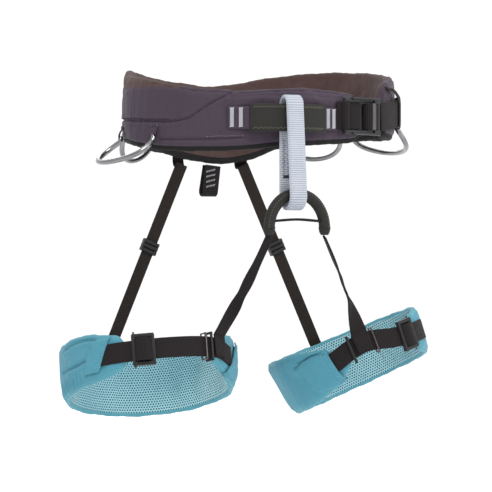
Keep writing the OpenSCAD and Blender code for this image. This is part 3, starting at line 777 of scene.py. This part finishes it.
belt_dashes("belt_seam_stitches", PANEL_SEAM[:3], 2.2, SEAM_THREAD)
belt_dashes("belt_lower_seam", LOWER_SEAM, 0, SEAM_THREAD, 0.2)
belt_dashes("belt_lower_stitches", [[318, -22.8], [335, -21.8]], 0, GREY_THREAD)


# ---- front tie-in point ----

TIE_Z, TIE_TALL, TIE_CORE = -5, 27, 3
TIE_ENDS, SLEEVE_ENDS = (-32, 14.6), (-23, 7.2)
TIE_LIFT = [[-32, 0.5], [-27, 1], [-21, 7], [-15, 10.5], [-9, 11.6], [-3, 11], [3, 8.2],
            [7.2, 4.5], [11.5, 1], [16, 0.5]]


def tie_in(name, ends, lift, wide, thick, material, slot):
    a = np.linspace(*ends, 48)
    path = belt_point(a, along(TIE_LIFT, a) + lift + thick / 2, TIE_Z)
    put(ribbon(name, path, UP, wide, thick, material), "waist_belt", slot, name)


tie_in("tie_in_webbing", TIE_ENDS, 0.2, TIE_TALL - 5, 2.6, PURPLE, "face_fabric")
tie_in("tie_in_sleeve", SLEEVE_ENDS, -1.1, TIE_TALL, TIE_CORE + 2.4, OLIVE, "sleeve_fabric")
for row, side in (("upper", 1), ("lower", -1)):
    a = np.arange(SLEEVE_ENDS[0] + 1, SLEEVE_ENDS[1] - 0.5, 0.9)
    wiggle = TIE_Z + side * (TIE_TALL / 2 - 3.4) + np.where(np.arange(len(a)) % 2, 0.9, -0.9)
    path = belt_point(a, along(TIE_LIFT, a) + TIE_CORE + 1.55, wiggle)
    put(thread(f"sleeve_stitch_{row}", path, OLIVE_THREAD, 0.32), "waist_belt", "sleeve_fabric")


# four upright bar tacks: a dense zigzag on a narrow base
TACK_WIDTH = 3.6
for k, a in enumerate((-30.2, -26.6, 9.3, 12.5)):
    name = f"tie_in_bartack_{k}"
    lift = float(along(TIE_LIFT, a)) + TIE_CORE + 0.3
    start, end = belt_point(a, lift, TIE_Z - 9), belt_point(a, lift, TIE_Z + 9.5)
    base = mixed(start, end, np.linspace(0, 1, 12)[:, None])
    base = ribbon(f"{name}_base", base, belt_ahead(a), TACK_WIDTH, 0.7, LIGHT_THREAD)
    put(base, "waist_belt", "light_thread")
    path = zigzag(start, end, belt_ahead(a), 0.3 * belt_out(a), TACK_WIDTH + 0.6, 1.9)
    nodes = ("tie_in_bartacks",) if k == 0 else ()
    put(thread(name, path, LIGHT_THREAD, 0.5), "waist_belt", "light_thread", *nodes)


# ---- waist webbing and buckle ----

WAIST_WEB, THIN = 28, 2.0
WAIST_RISE = [[15, -1.5], [38, -0.5], [52, 2.5], [70, 6.5], [92, 9]]
STRAP_LIFT = [[15, 4], [38, 5.5], [50, 4], [64, 4], [80, 6], [92, 11]]
BUCKLE_MID, BUCKLE_LONG, BUCKLE_TALL, BUCKLE_RAIL, BUCKLE_OFF = 26.7, 51, 36, 4.5, 5


def waist_strap(name, start, end, body):
    a = np.linspace(start, end, 40)
    path = belt_point(a, along(STRAP_LIFT, a) + THIN / 2, along(WAIST_RISE, a))
    put(ribbon(name, path, UP, WAIST_WEB, THIN, BLACK), body, "webbing", name)


waist_strap("waist_webbing_adjusting", 38.8, 76, "waist_belt")
waist_strap("waist_webbing_tail", 76.7, 92, "waist_tail")


def strap_place(a, off):
    """The mapping from a frame on the waist strap, X along it and -Y outwards, to the harness's."""
    origin = belt_point(a, off, float(along(WAIST_RISE, a)))
    n, ahead = belt_out(a), belt_ahead(a)
    return lambda p: origin + ahead * p[0] - n * p[1] + UP * p[2]


at_buckle = strap_place(BUCKLE_MID, BUCKLE_OFF)


def buckle_ribbon(name, points, wide, thick, body, *nodes):
    path = np.array([at_buckle(q) for q in line([(x, y, 0) for x, y in points], 40)])
    put(ribbon(name, path, UP, wide, thick, BLACK), body, "webbing", *nodes)


fold = [(-31, 3.7), (-27.5, 1.6), (-26.4, -1.2), (-24.8, -3.0), (-22.5, -3.5), (-20.2, -2.6), (-19.2, 0),
        (-20, 2.6), (-23, 3.7), (-27, 4.2)]
buckle_ribbon("waist_webbing_fixed", fold, WAIST_WEB - 1, 1.5, "waist_belt", "waist_webbing_fixed")
wrap = [(19.5, 3.4), (14, 3.9), (9, 4.0), (5.6, 2.6), (4.6, 0), (6, -3.0), (9.5, -4.3), (14, -4.0), (18, -2.4),
        (20.6, -1.4)]
buckle_ribbon("waist_buckle_wrap", wrap, WAIST_WEB - 2, 1.7, "waist_slide_bar")

rail_z = BUCKLE_TALL / 2 - BUCKLE_RAIL / 2
parts = []
for side in (-1, 1):
    parts.append(((0.5, 0.3, side * rail_z), (BUCKLE_LONG - 1, 4.2, BUCKLE_RAIL), 1.7))
    parts.append(((3, -2.8, side * (BUCKLE_TALL / 2 - 0.9)), (BUCKLE_LONG - 14, 3.6, 2.0), 0.8))
    parts.append(((20.5, -2.2, side * rail_z), (9, 3, 5.4), 1.4))
parts += [((-22.9, 0, 0), 4.0, BUCKLE_TALL - 6), ((23, -0.4, 0), 4.6, BUCKLE_TALL - 6)]
parts.append(((-1.5, 1.4, 0), (5, 2.0, BUCKLE_TALL - 8), 0.7))
put(blocks("waist_buckle_frame", parts, at_buckle, COATED), "waist_buckle", "buckle_metal",
    "waist_buckle_frame")
inner = [(-18.4, 1.6), (-15, 0.2), (-10, -0.6), (-5, -0.2), (-1, 1.0)]
buckle_ribbon("waist_buckle_webbing", inner, WAIST_WEB - 2, 1.5, "waist_buckle")
slide = [((12.6, -5.6, 0), (4.2, 1.6, BUCKLE_TALL - 2 * BUCKLE_RAIL - 1), 0.7), ((10.5, 0, 0), 5.2, 25)]
slide += [((14.4, -5.9, z), (0.9, 1.5, 1.2), 0.3) for z in np.arange(-11, 11.5, 2.2)]
put(blocks("waist_buckle_slide_bar", slide, at_buckle, BAR_METAL), "waist_slide_bar", "buckle_metal",
    "waist_buckle_slide_bar")


def ring_parts(bar, deep, tall, bevel):
    """A rectangular ring: two upright bars and two that cross them."""
    side, end = (deep - bar) / 2, (tall - bar) / 2
    return ([((0, s * side, 0), (bar * 1.2, bar, tall), bevel) for s in (-1, 1)]
            + [((0, 0, s * end), (bar * 1.2, deep, bar), bevel) for s in (-1, 1)])


keeper_at = 65
at_keeper = strap_place(keeper_at, float(along(STRAP_LIFT, keeper_at)) + THIN / 2)
a = np.linspace(0, TURN, 41)[:-1]
ring = np.stack([0 * a, 2.4 * np.sign(np.cos(a)) * np.abs(np.cos(a)) ** 0.5,
                 (WAIST_WEB / 2 + 1.4) * np.sign(np.sin(a)) * np.abs(np.sin(a)) ** 0.35], 1)
path = np.array([at_keeper(q) for q in ring])
strap_keeper = ribbon("waist_strap_keeper", path, belt_ahead(keeper_at), 12, 1.1, ELASTIC, closed=True)
put(strap_keeper, "waist_belt", "webbing", "waist_strap_keeper")
# thin strap from the pad's front lobe down to the keeper, as angle, off and height
lobe_strap = [(50, 0.8, 29), (54, 5.5, 27), (58, 8.2, 21), (60.5, 8.4, 17)]
path = line([belt_point(*q) for q in lobe_strap], 16)
put(ribbon("lobe_strap", path, belt_ahead(56) + 0.25 * UP, 6, 1.0, BLACK), "waist_belt", "webbing")


# ---- gear loops, their tabs and the haul loop ----

def tab_stitches(name, a, lift, z, half, width, material):
    """A bar of zigzag stitches across a tab on the belt."""
    start = belt_point(a, lift, z)
    path = zigzag(start - half * belt_ahead(a), start + half * belt_ahead(a), UP, 0, width, 1.3)
    put(thread(name, path, material, 0.35), "waist_belt", "dark_thread")


GEAR_CORD, CORD_GAP, TAB_WIDTH = 5.2, 1.4, 8
# how far the tab stands off the belt, and how far up it is from the tab's foot
TAB_PROFILE = ((1.2, 12), (2.0, 9), (4.6, 5), (5.6, 1))
# below 1 the loop is squarer than a half round
ROUNDNESS = 0.3
# angle of each end, height of the ends, reach outwards, drop
GEAR = {"front_left": (72, 118, -9, 15, 23), "rear_left": (124, 151, -13, 7, 24),
        "front_right": (293, 258, -25, 29, 22), "rear_right": (239, 213, -14, 7, 28)}

tab_nodes = ("gear_loop_anchor_tabs",)
for where, (a0, a1, z, reach, drop) in GEAR.items():
    t = np.linspace(0, 1, 91)
    share = (1 - np.cos(np.pi * t)) / 2
    bulge = np.sin(np.pi * share) ** ROUNDNESS
    path = belt_point(a0 + (a1 - a0) * share, GEAR_CORD / 2 + CORD_GAP + reach * bulge, z - drop * bulge)
    # ends run up into the sewn tabs
    ends = [path[:1] + UP * 5, path, path[-1:] + UP * 5]
    name = f"gear_loop_{where}"
    put(tube(name, np.vstack(ends), GEAR_CORD / 2, SILVER, sides=18), name, "gear_rod", name)
    for k, a in enumerate((a0, a1)):
        low = z + GEAR_CORD / 2 + 0.8
        rows = line([belt_point(a, off, low + up) for off, up in TAB_PROFILE], 14)
        tab = ribbon(f"gear_tab_{where}_{k}", rows, belt_ahead(a), TAB_WIDTH, 1.4, PURPLE_TAB)
        put(tab, "waist_belt", "face_fabric", *tab_nodes)
        tab_nodes = ()
        tab_stitches(f"gear_tab_stitch_{where}_{k}", a, 2.9, low + 10.2, TAB_WIDTH / 2, 2.4,
                     GREY_THREAD)

HAUL_X, HAUL_Z, HAUL_LOW, HAUL_DEEP, HAUL_WEB = -4, -45, -77, 12, 17
bend = HAUL_DEEP / 2 - 1
y = HALF_DEPTH - 5
foot = HAUL_LOW + bend + 1
haul = ([(HAUL_X + 3 - i, y - bend, HAUL_Z + (foot - HAUL_Z) * i / 3) for i in range(4)]
        + [(HAUL_X, y - bend * np.cos(q), foot - bend * np.sin(q)) for q in np.linspace(0, np.pi, 9)[1:-1]]
        + [(HAUL_X + i, y + bend - 0.9 * i, foot + (HAUL_Z - foot) * i / 3) for i in range(4)])
haul_loop = ribbon("haul_loop", line(haul, 50), (1, 0, 0), HAUL_WEB, THIN, BLACK)
put(haul_loop, "haul_loop", "webbing", "haul_loop")
for k in range(4):
    z = HAUL_LOW + 10 + 5.2 * k
    start = np.array([HAUL_X - 5, y - bend - 1.2, z])
    path = zigzag(start, start + np.array([9.5, 0, 2.2]), (0, 0, 1), 0, 1.6, 1.3)
    put(thread(f"haul_loop_stitch_{k}", path, LIGHT_THREAD, 0.35), "haul_loop", "light_thread")

# ---- belay loop ----

BELAY_X, BELAY_WEB, BELAY_THICK = -9, 18, 4.2
BELAY_TOP, BELAY_LOW = (-110.5, 7.3), (-114.5, -80.3)
TOP_BEND, LOW_BEND = 7.6, 11.5

q = np.linspace(np.pi, 0, 25)
over = np.stack([0 * q, BELAY_TOP[0] + TOP_BEND * np.cos(q), BELAY_TOP[1] + TOP_BEND * np.sin(q)], 1)
q = np.linspace(0, -np.pi, 25)
under = np.stack([0 * q, BELAY_LOW[0] + LOW_BEND * np.cos(q), BELAY_LOW[1] + LOW_BEND * np.sin(q)], 1)
t = np.linspace(0, 1, 42)[1:-1, None]
belay = np.vstack([over, mixed(over[-1], under[0], t), under, mixed(under[-1], over[0], t)]) + [BELAY_X, 0, 0]
belay_loop = ribbon("belay_loop", belay, (1, 0, 0), BELAY_WEB, BELAY_THICK, WHITE, closed=True, edge=13)
put(belay_loop, "belay_loop", "belay_webbing", "belay_loop_webbing")
rear = BELAY_TOP[0] + TOP_BEND + BELAY_THICK / 2 + 0.35
inner = BELAY_TOP[0] + TOP_BEND - BELAY_THICK / 2 - 0.35
for k, x in enumerate((-5.4, 0, 5.4)):
    for face, depth in (("front", inner), ("back", rear)):
        nodes = ("belay_loop_stitching",) if (k, face) == (0, "front") else ()
        path = zigzag((BELAY_X + x, depth, -26), (BELAY_X + x, depth, -60), (1, 0, 0), 0, 2.6, 3.6)
        put(thread(f"belay_stitch_{face}_{k}", path, GREY_THREAD, 0.25), "belay_loop", "dark_thread", *nodes)
path = zigzag((BELAY_X - 6, inner, -61.5), (BELAY_X + 2, inner, -61.5), (0, 0, 1), 0, 2.6, 1.1)
put(thread("belay_stitch_end", path, DARK_THREAD, 0.5), "belay_loop", "dark_thread")

# ---- leg bridge ----

BRIDGE_HALF, BRIDGE_X, BRIDGE_Y, BRIDGE_TUBE = 29.5, -5, -114.5, 11
FOOT_Z, APEX_Z, RISER_TOP = -111, -78, -119.5
q = np.linspace(np.pi, 0, 61)
arch = np.stack([BRIDGE_X + BRIDGE_HALF * np.cos(q), BRIDGE_Y + 0 * q,
                 FOOT_Z + (APEX_Z - FOOT_Z) * np.sin(q)], 1)
wide = 1 - 0.16 * np.exp(-(((q - np.pi / 2) / 0.28) ** 2))
put(tube("bridge_sleeve", arch, BRIDGE_TUBE / 2 * wide, OLIVE, sides=22, lean=(0, 1, 0)), "leg_bridge",
    "sleeve_fabric", "bridge_sleeve", "bridge_webbing_core")
out = unit(arch - np.array([BRIDGE_X, BRIDGE_Y, FOOT_Z]))
seam = arch - np.array([0, 1, 0]) * (BRIDGE_TUBE / 2 * wide[:, None] - 0.2) * 0.86
seam = seam + out * BRIDGE_TUBE / 2 * 0.45
put(dashes("bridge_stitches", seam, (0, -1, 0), OLIVE_THREAD, 1.8, 1.0), "leg_bridge", "sleeve_fabric")
reach = BRIDGE_HALF - BRIDGE_TUBE / 2 - 0.8
path = line([(BRIDGE_X + x, BRIDGE_Y, FOOT_Z + z) for x, z in ((-reach, 7), (0, 8.4), (reach, 7))], 30)
cross_strap = ribbon("bridge_cross_strap", path, (0, 1, 0), 8, 2.4, BLACK)
put(cross_strap, "leg_bridge", "webbing", "bridge_cross_strap")
for k, side in enumerate((-1, 1)):
    x = BRIDGE_X + side * BRIDGE_HALF
    path = np.array([(x, BRIDGE_Y, FOOT_Z + 1.5 - s) for s in np.linspace(0, 8, 12)])
    radius = np.interp(np.linspace(0, 1, 12), [0, 0.15, 0.7, 1], [5.9, 6.1, 5.2, 3.6])
    nodes = ("bridge_end_caps",) if k == 0 else ()
    put(tube(f"bridge_end_cap_{k}", path, radius, OLIVE, sides=18, lean=(0, 1, 0), squash=0.8), "leg_bridge",
        "sleeve_fabric", *nodes)


# ---- leg loops ----

LEG = {"right": dict(radius=84, at=(-112, 0, -249), turn=(-16, 2, 0), mirror=-1, taper=0.02, junction=-30,
                     lift=4, ring=-17.5, adjuster=0.43),
       "left": dict(radius=78, at=(113, 0, -243.5), turn=(-13, -20, 0), mirror=1, taper=0.12, junction=-13,
                    lift=10, ring=-3.5, adjuster=0.46)}
LEG_HALF = [[37, 12], [45, 16], [57, 20], [75, 22.5], [90, 23.5], [115, 25], [150, 26.5],
            [190, 27.5], [225, 27.5], [255, 26], [290, 25], [303, 22.5], [314, 18.5], [324, 13], [333, 4]]
LEG_OUT, LEG_IN, LEG_TAPE, LEG_WEB = 0.0, -7.5, 2.4, 20
LEG_LIFT = [[-54, 0.5], [-30, 0.5], [-15, -0.3], [0, -1], [20, -0.3], [36, 0.5], [60, 0.5]]
LEG_BUCKLE = 25


def turned(p, degrees):
    for axis, angle in zip("XYZ", degrees):
        p = p @ np.array(Matrix.Rotation(np.radians(angle), 3, axis)).T
    return p


def leg_world(side, p):
    g = LEG[side]
    return turned(np.asarray(p, float) * [g["mirror"], 1, 1], g["turn"]) + g["at"]


def leg_point(side, a, off, z):
    a, off, z = np.broadcast_arrays(np.asarray(a, float), off, z)
    r = LEG[side]["radius"] + off + LEG[side]["taper"] * z
    q = np.radians(a)
    return leg_world(side, np.stack([r * np.sin(q), -r * np.cos(q), z], -1))


def leg_up(side, a):
    return unit(leg_point(side, a, 0, 1) - leg_point(side, a, 0, -1))


def leg_rise(side, a):
    g = LEG[side]
    keys = [[-54, 0], [-44, 0.1], [g["junction"], 1], [12, 0.3], [30, 0], [60, 0]]
    return along([[at, share * g["lift"]] for at, share in keys], a)


def ring_place(side, a, off):
    """The mapping from a frame on the loop, X along the strap and -Y outwards, to the harness's."""
    g = LEG[side]
    q = np.radians(a)
    tilt = np.array(Matrix.Rotation(q, 3, "Z") @ Matrix.Rotation(np.arctan(g["taper"]), 3, "X"))
    r = g["radius"] + off
    origin = np.array([r * np.sin(q), -r * np.cos(q), float(leg_rise(side, a))])
    return lambda p: leg_world(side, tilt @ np.array(p, float) + origin)


def leg_cuts(a, height):
    edge = min(LEG_TAPE + 0.4, height * 0.2)
    return [edge, height - edge], [height - edge, edge]


def side_strap(name, side, start, end, count):
    a = np.linspace(start, end, count)
    path = leg_point(side, a, along(LEG_LIFT, a) + THIN / 2, leg_rise(side, a))
    put(ribbon(name, path, leg_up(side, a), LEG_WEB, THIN, BLACK), f"{side}_leg", "webbing", name)


def pocket(side, pad, name, edge, reach, lift, half):
    """A panel of face fabric that the strap goes into. edge gives the angle of its hem by height."""
    z = np.linspace(edge[0][0], edge[-1][0], 26)
    s = np.linspace(0, 1, 24)
    Z, S = np.meshgrid(z, s, indexing="ij")
    A = along(edge, Z) + reach * S
    A = np.where(A < 0, A + 360, A)
    brow = 1 - np.abs(Z / half) ** 4
    tucked = smooth(np.maximum(S, np.abs(Z / half)), 0.8, 1)
    high = 0.9 + lift * np.clip(brow, 0, 1) * (1 - smooth(S, 0.5, 1)) - 1.8 * tucked
    high = high + 0.35 * np.sin(Z * 0.5 + 5 * S) * np.exp(-4 * S) * (S > 0.02)
    P, n = pad.at(A.ravel(), Z.ravel())
    P = (P + n * high.reshape(-1, 1)).reshape(A.shape + (3,))
    n = n.reshape(P.shape)
    # the hem turns in towards the strap
    P = np.concatenate([P[:, :1] - 1.3 * n[:, :1], P[:, :1] - 0.5 * n[:, :1], P], 1)
    U = np.broadcast_to(np.linspace(0, abs(reach) * 1.45, P.shape[1]) * MM, P.shape[:2])
    V = np.broadcast_to((z * MM)[:, None], P.shape[:2])
    put(add_grid(f"{side}_{name}", P, U, V, TEAL, closed_v=False), f"{side}_leg", "leg_fabric")
    for k, column in enumerate((4, 6)):
        path = P[1:-1, column] + 0.15 * n[1:-1, column - 2]
        put(dashes(f"{side}_{name}_stitches_{k}", path, n[1:-1, column - 2], TEAL_THREAD, 1.9, 1.1, 0.26),
            f"{side}_leg", "leg_fabric")


RISER_WIDTH = [[0, 10], [0.3, 11], [0.75, 12], [0.92, 15], [1, 17]]
RISER_TWIST = [[0, 70], [0.25, 74], [0.45, 62], [0.6, 84], [0.75, 60], [0.88, 30], [1, 4]]
RISER_OFF = 4.3
BACK_X, FROM_BACK, ANCHOR_Z, ELASTIC_WEB, FOOT_ANGLE, ELASTIC_OFF = -1, 36, -44, 13, 175, 2.2


def riser(side):
    g = LEG[side]
    m = g["mirror"]
    top = np.array([BRIDGE_X + BRIDGE_HALF * m, BRIDGE_Y, RISER_TOP], float)
    low = leg_point(side, g["junction"], RISER_OFF, g["lift"] + 12)
    end = leg_point(side, g["junction"], RISER_OFF, g["lift"] - 9)
    t = np.linspace(0, 1, 60)
    path = mixed(top, low, t[:, None]) + np.stack([0 * t, -4 * np.sin(np.pi * t), 0 * t], 1)
    ahead = unit(leg_point(side, g["junction"] + 1, 4, 0) - leg_point(side, g["junction"] - 1, 4, 0)) * m
    w = np.radians(along(RISER_TWIST, t))
    share = (t**3)[:, None]
    across = unit(np.stack([np.cos(w), m * np.sin(w), 0 * w], 1) * (1 - share) + ahead * share)
    tail = np.linspace(0, 1, 9)[1:, None]
    path = np.vstack([path, mixed(low, end, tail)])
    across = np.vstack([across, np.broadcast_to(ahead, (8, 3))])
    width = np.concatenate([along(RISER_WIDTH, t), np.linspace(17, 15, 8)])
    name = f"{side}_riser_strap"
    put(ribbon(name, path, across, width, THIN, BLACK), f"{side}_leg", "webbing", name)


def elastic(side):
    g = LEG[side]
    m = g["mirror"]
    x = BACK_X + m * FROM_BACK
    a = 180 - np.degrees(np.arcsin((x - SHIFT) / HALF_WIDTH))
    top = belt_point(a, -4, ANCHOR_Z)
    low = leg_point(side, FOOT_ANGLE, ELASTIC_OFF, 32)
    foot = leg_point(side, FOOT_ANGLE - (4 if side == "right" else 1), ELASTIC_OFF, 15)
    t = np.linspace(0, 1, 50)[:, None]
    path = np.vstack([mixed(top, low, t), mixed(low, foot, np.linspace(0, 1, 9)[1:, None])])
    share = np.clip(np.linspace(0, 58 / 50, 58), 0, 1)[:, None] ** 2
    round_leg = unit(leg_point(side, 174, 2, 20) - leg_point(side, 176, 2, 20)) * m
    across = mixed([1, 0, 0], round_leg, share)
    name = f"{side}_elastic_strap"
    put(ribbon(name, path, across, ELASTIC_WEB, 1.6, ELASTIC), f"{side}_leg", "webbing", name)
    d = unit(low - top)
    x_axis = unit(np.array([1, 0, 0]) - d * d[0])
    axes = np.stack([x_axis, np.cross(d, x_axis), d], 1)
    centre = mixed(top, low, g["adjuster"])
    wide, deep, tall, wall = ELASTIC_WEB + 4.4, 6.4, 13, 1.6
    parts = [((s * (wide - wall) / 2, 0, 0), (wall, deep - 1, tall), 0.6) for s in (-1, 1)]
    parts += [((0, s * (deep - wall) / 2, z), (wide, wall, 3.4), 0.6)
              for s in (-1, 1) for z in (-4.6, 0, 4.6)]
    name = f"{side}_elastic_adjuster"
    adjuster = blocks(name, parts, lambda p: centre + axes @ np.array(p, float), PLASTIC)
    put(adjuster, f"{side}_adjuster", "buckle_plastic", name)
    # the folded tab on the belt, sewn with one bar
    bends = ((2.2, 11), (2.6, 5), (1.2, -1), (-2.6, -3.4), (-3.6, -2))
    tab = line([belt_point(a, off, ANCHOR_Z + up) for off, up in bends], 20)
    nodes = ("elastic_anchor_tabs",) if side == "right" else ()
    put(ribbon(f"{side}_elastic_tab", tab, belt_ahead(a), ELASTIC_WEB + 1, 1.4, BLACK), "waist_belt", "webbing",
        *nodes)
    tab_stitches(f"{side}_elastic_tab_stitch", a, 3.3, ANCHOR_Z + 8, 5, 2.2, DARK_THREAD)


def leg_buckle(side):
    place = ring_place(side, LEG_BUCKLE, 2)
    up = leg_up(side, LEG_BUCKLE)
    name, bar_name = f"{side}_leg_buckle", f"{side}_leg_buckle_bar"
    long, tall, rail = 22, 31, 4.2
    parts = [((0, 0, s * (tall - rail) / 2), (long, 4.2, rail), 1.5) for s in (-1, 1)]
    parts += [((s * (long / 2 - 1.6), -0.3, 0), (3.4, 4.0, tall - 2), 1.3) for s in (-1, 1)]
    put(blocks(f"{name}_frame", parts, place, PLASTIC), name, "buckle_plastic", f"{name}_frame")
    wire = [((long / 2 - 2.2, 1.2, 0), 2.0, tall + 4.6)]
    put(blocks(f"{name}_wire", wire, place, STEEL), name, "steel")
    behind = np.array([place(q) for q in line([(-9, 0.9, 0), (0, 1.3, 0), (9, 0.9, 0)], 12)])
    put(ribbon(f"{name}_webbing", behind, up, 22.4, 1.2, BLACK), name, "webbing")
    hump = line([(-8.4, 1.4, 0), (-7.4, -1.6, 0), (-4.6, -4.2, 0), (0, -5.2, 0), (4.6, -4.2, 0), (7.4, -1.6, 0),
                 (8.0, 1.4, 0)], 30)
    path = np.array([place(q) for q in hump])
    put(ribbon(f"{name}_wrap", path, up, 22.2, 1.6, BLACK), bar_name, "webbing")
    bar = [((0, -0.6, 0), 6.6, LEG_WEB - 1), ((0, -0.4, 0), 2.6, LEG_WEB + 2.4)]
    put(blocks(bar_name, bar, place, PLASTIC), bar_name, "buckle_plastic", bar_name)


def leg_rings(side):
    g = LEG[side]
    for name, a, bar, deep, tall, material, slot in (
            ("leg_strap_keeper", -22, 2.2, 9.4, 28.4, PLASTIC, "buckle_plastic"),
            ("leg_riser_ring", g["ring"], 1.3, 8.4, 26.5, STEEL, "steel")):
        off = float(along(LEG_LIFT, a)) + THIN / 2
        place = ring_place(side, a, off)
        ring = blocks(f"{side}_{name}", ring_parts(bar, deep, tall, bar * 0.4), place, material)
        put(ring, f"{side}_leg", slot, f"{side}_{name}")


CREASES = {"right": [[[58, 17], [71, 19.5], [92, 17.5]], [[67, -1], [79, -3], [100, -2]]],
           "left": [[[292, 14], [308, 17], [318, 15]]]}
POCKETS = {"right": [("outer_pocket", [[-15, 56.5], [-11.5, 55], [-5, 53], [14, 47], [17, 46]], 15, 2.6, 18),
                     ("inner_pocket", [[-21, -37], [18.5, -63]], -30, 3.2, 23)],
           "left": [("inner_pocket", [[-19, -34], [-10.5, -36], [18, -39]], -30, 3.0, 21)]}


def leg_loop(side):
    a = np.linspace(37, 333, 150)
    half = along(LEG_HALF, a) + LEG_TAPE
    # the front end is rounded off
    half = half * (1 - 0.35 * (1 - smooth(a, 36, 42)))
    entry = [[300, float(leg_rise(side, -60))], [333, float(leg_rise(side, -27))]]
    seams = [([[37, 0], [62, 0]], 11), (entry, 11)] + [(keys, 1.5) for keys in CREASES[side]]
    pad = Pad(lambda *q: leg_point(side, *q), a, -half, half, LEG_OUT + 0.4, LEG_IN, leg_cuts,
              [2, 16, 2, 2, 18, 2], seams=seams, limit=1.8, shrink=-0.008)
    for keys in CREASES[side]:
        pad.groove(keys, 2.2, 1.3, 0.9)
    pad.push(ripples(pad.a, pad.z, [(0.3, 0.03, 1.0, 0.3), (0.8, -0.1, 0.3, 0.14), (0.15, 0.2, 4.0, 0.2)]))
    # pleats on the lower half of the outer side
    low = np.exp(-((pad.z + 17) / 7) ** 2) * smooth(pad.a, 66, 76) * (1 - smooth(pad.a, 100, 112)) * pad.outside
    pad.push(0.95 * low * np.sin(pad.a * 1.55 + 0.12 * pad.z))
    body = f"{side}_leg"
    face = put(pad.piece(f"{side}_leg_face", 1, 2, TEAL, lift=0.5), body, "leg_fabric",
               f"{side}_leg_outer_shell", f"{side}_leg_foam_pad")
    lining = put(pad.piece(f"{side}_leg_lining", 4, 5, MESH, lift=0.3), body, "leg_mesh",
                 f"{side}_leg_mesh_lining")
    put(pad.piece(f"{side}_leg_top_edge", 2, 4, TEAL_EDGE), body, "leg_fabric", f"{side}_leg_edge_binding")
    for name, first in (("outer", 0), ("inner", 5)):
        put(pad.piece(f"{side}_leg_low_edge_{name}", first, first + 1, TEAL_EDGE), body, "leg_fabric")
    for panel in POCKETS[side]:
        pocket(side, pad, *panel)


for side in LEG:
    leg_loop(side)
    side_strap(f"{side}_leg_webbing_fixed", side, 31.2, 57, 40)
    side_strap(f"{side}_leg_webbing_adjusting", side, -48, 18.6, 60)
    leg_buckle(side)
    leg_rings(side)
    riser(side)
    elastic(side)
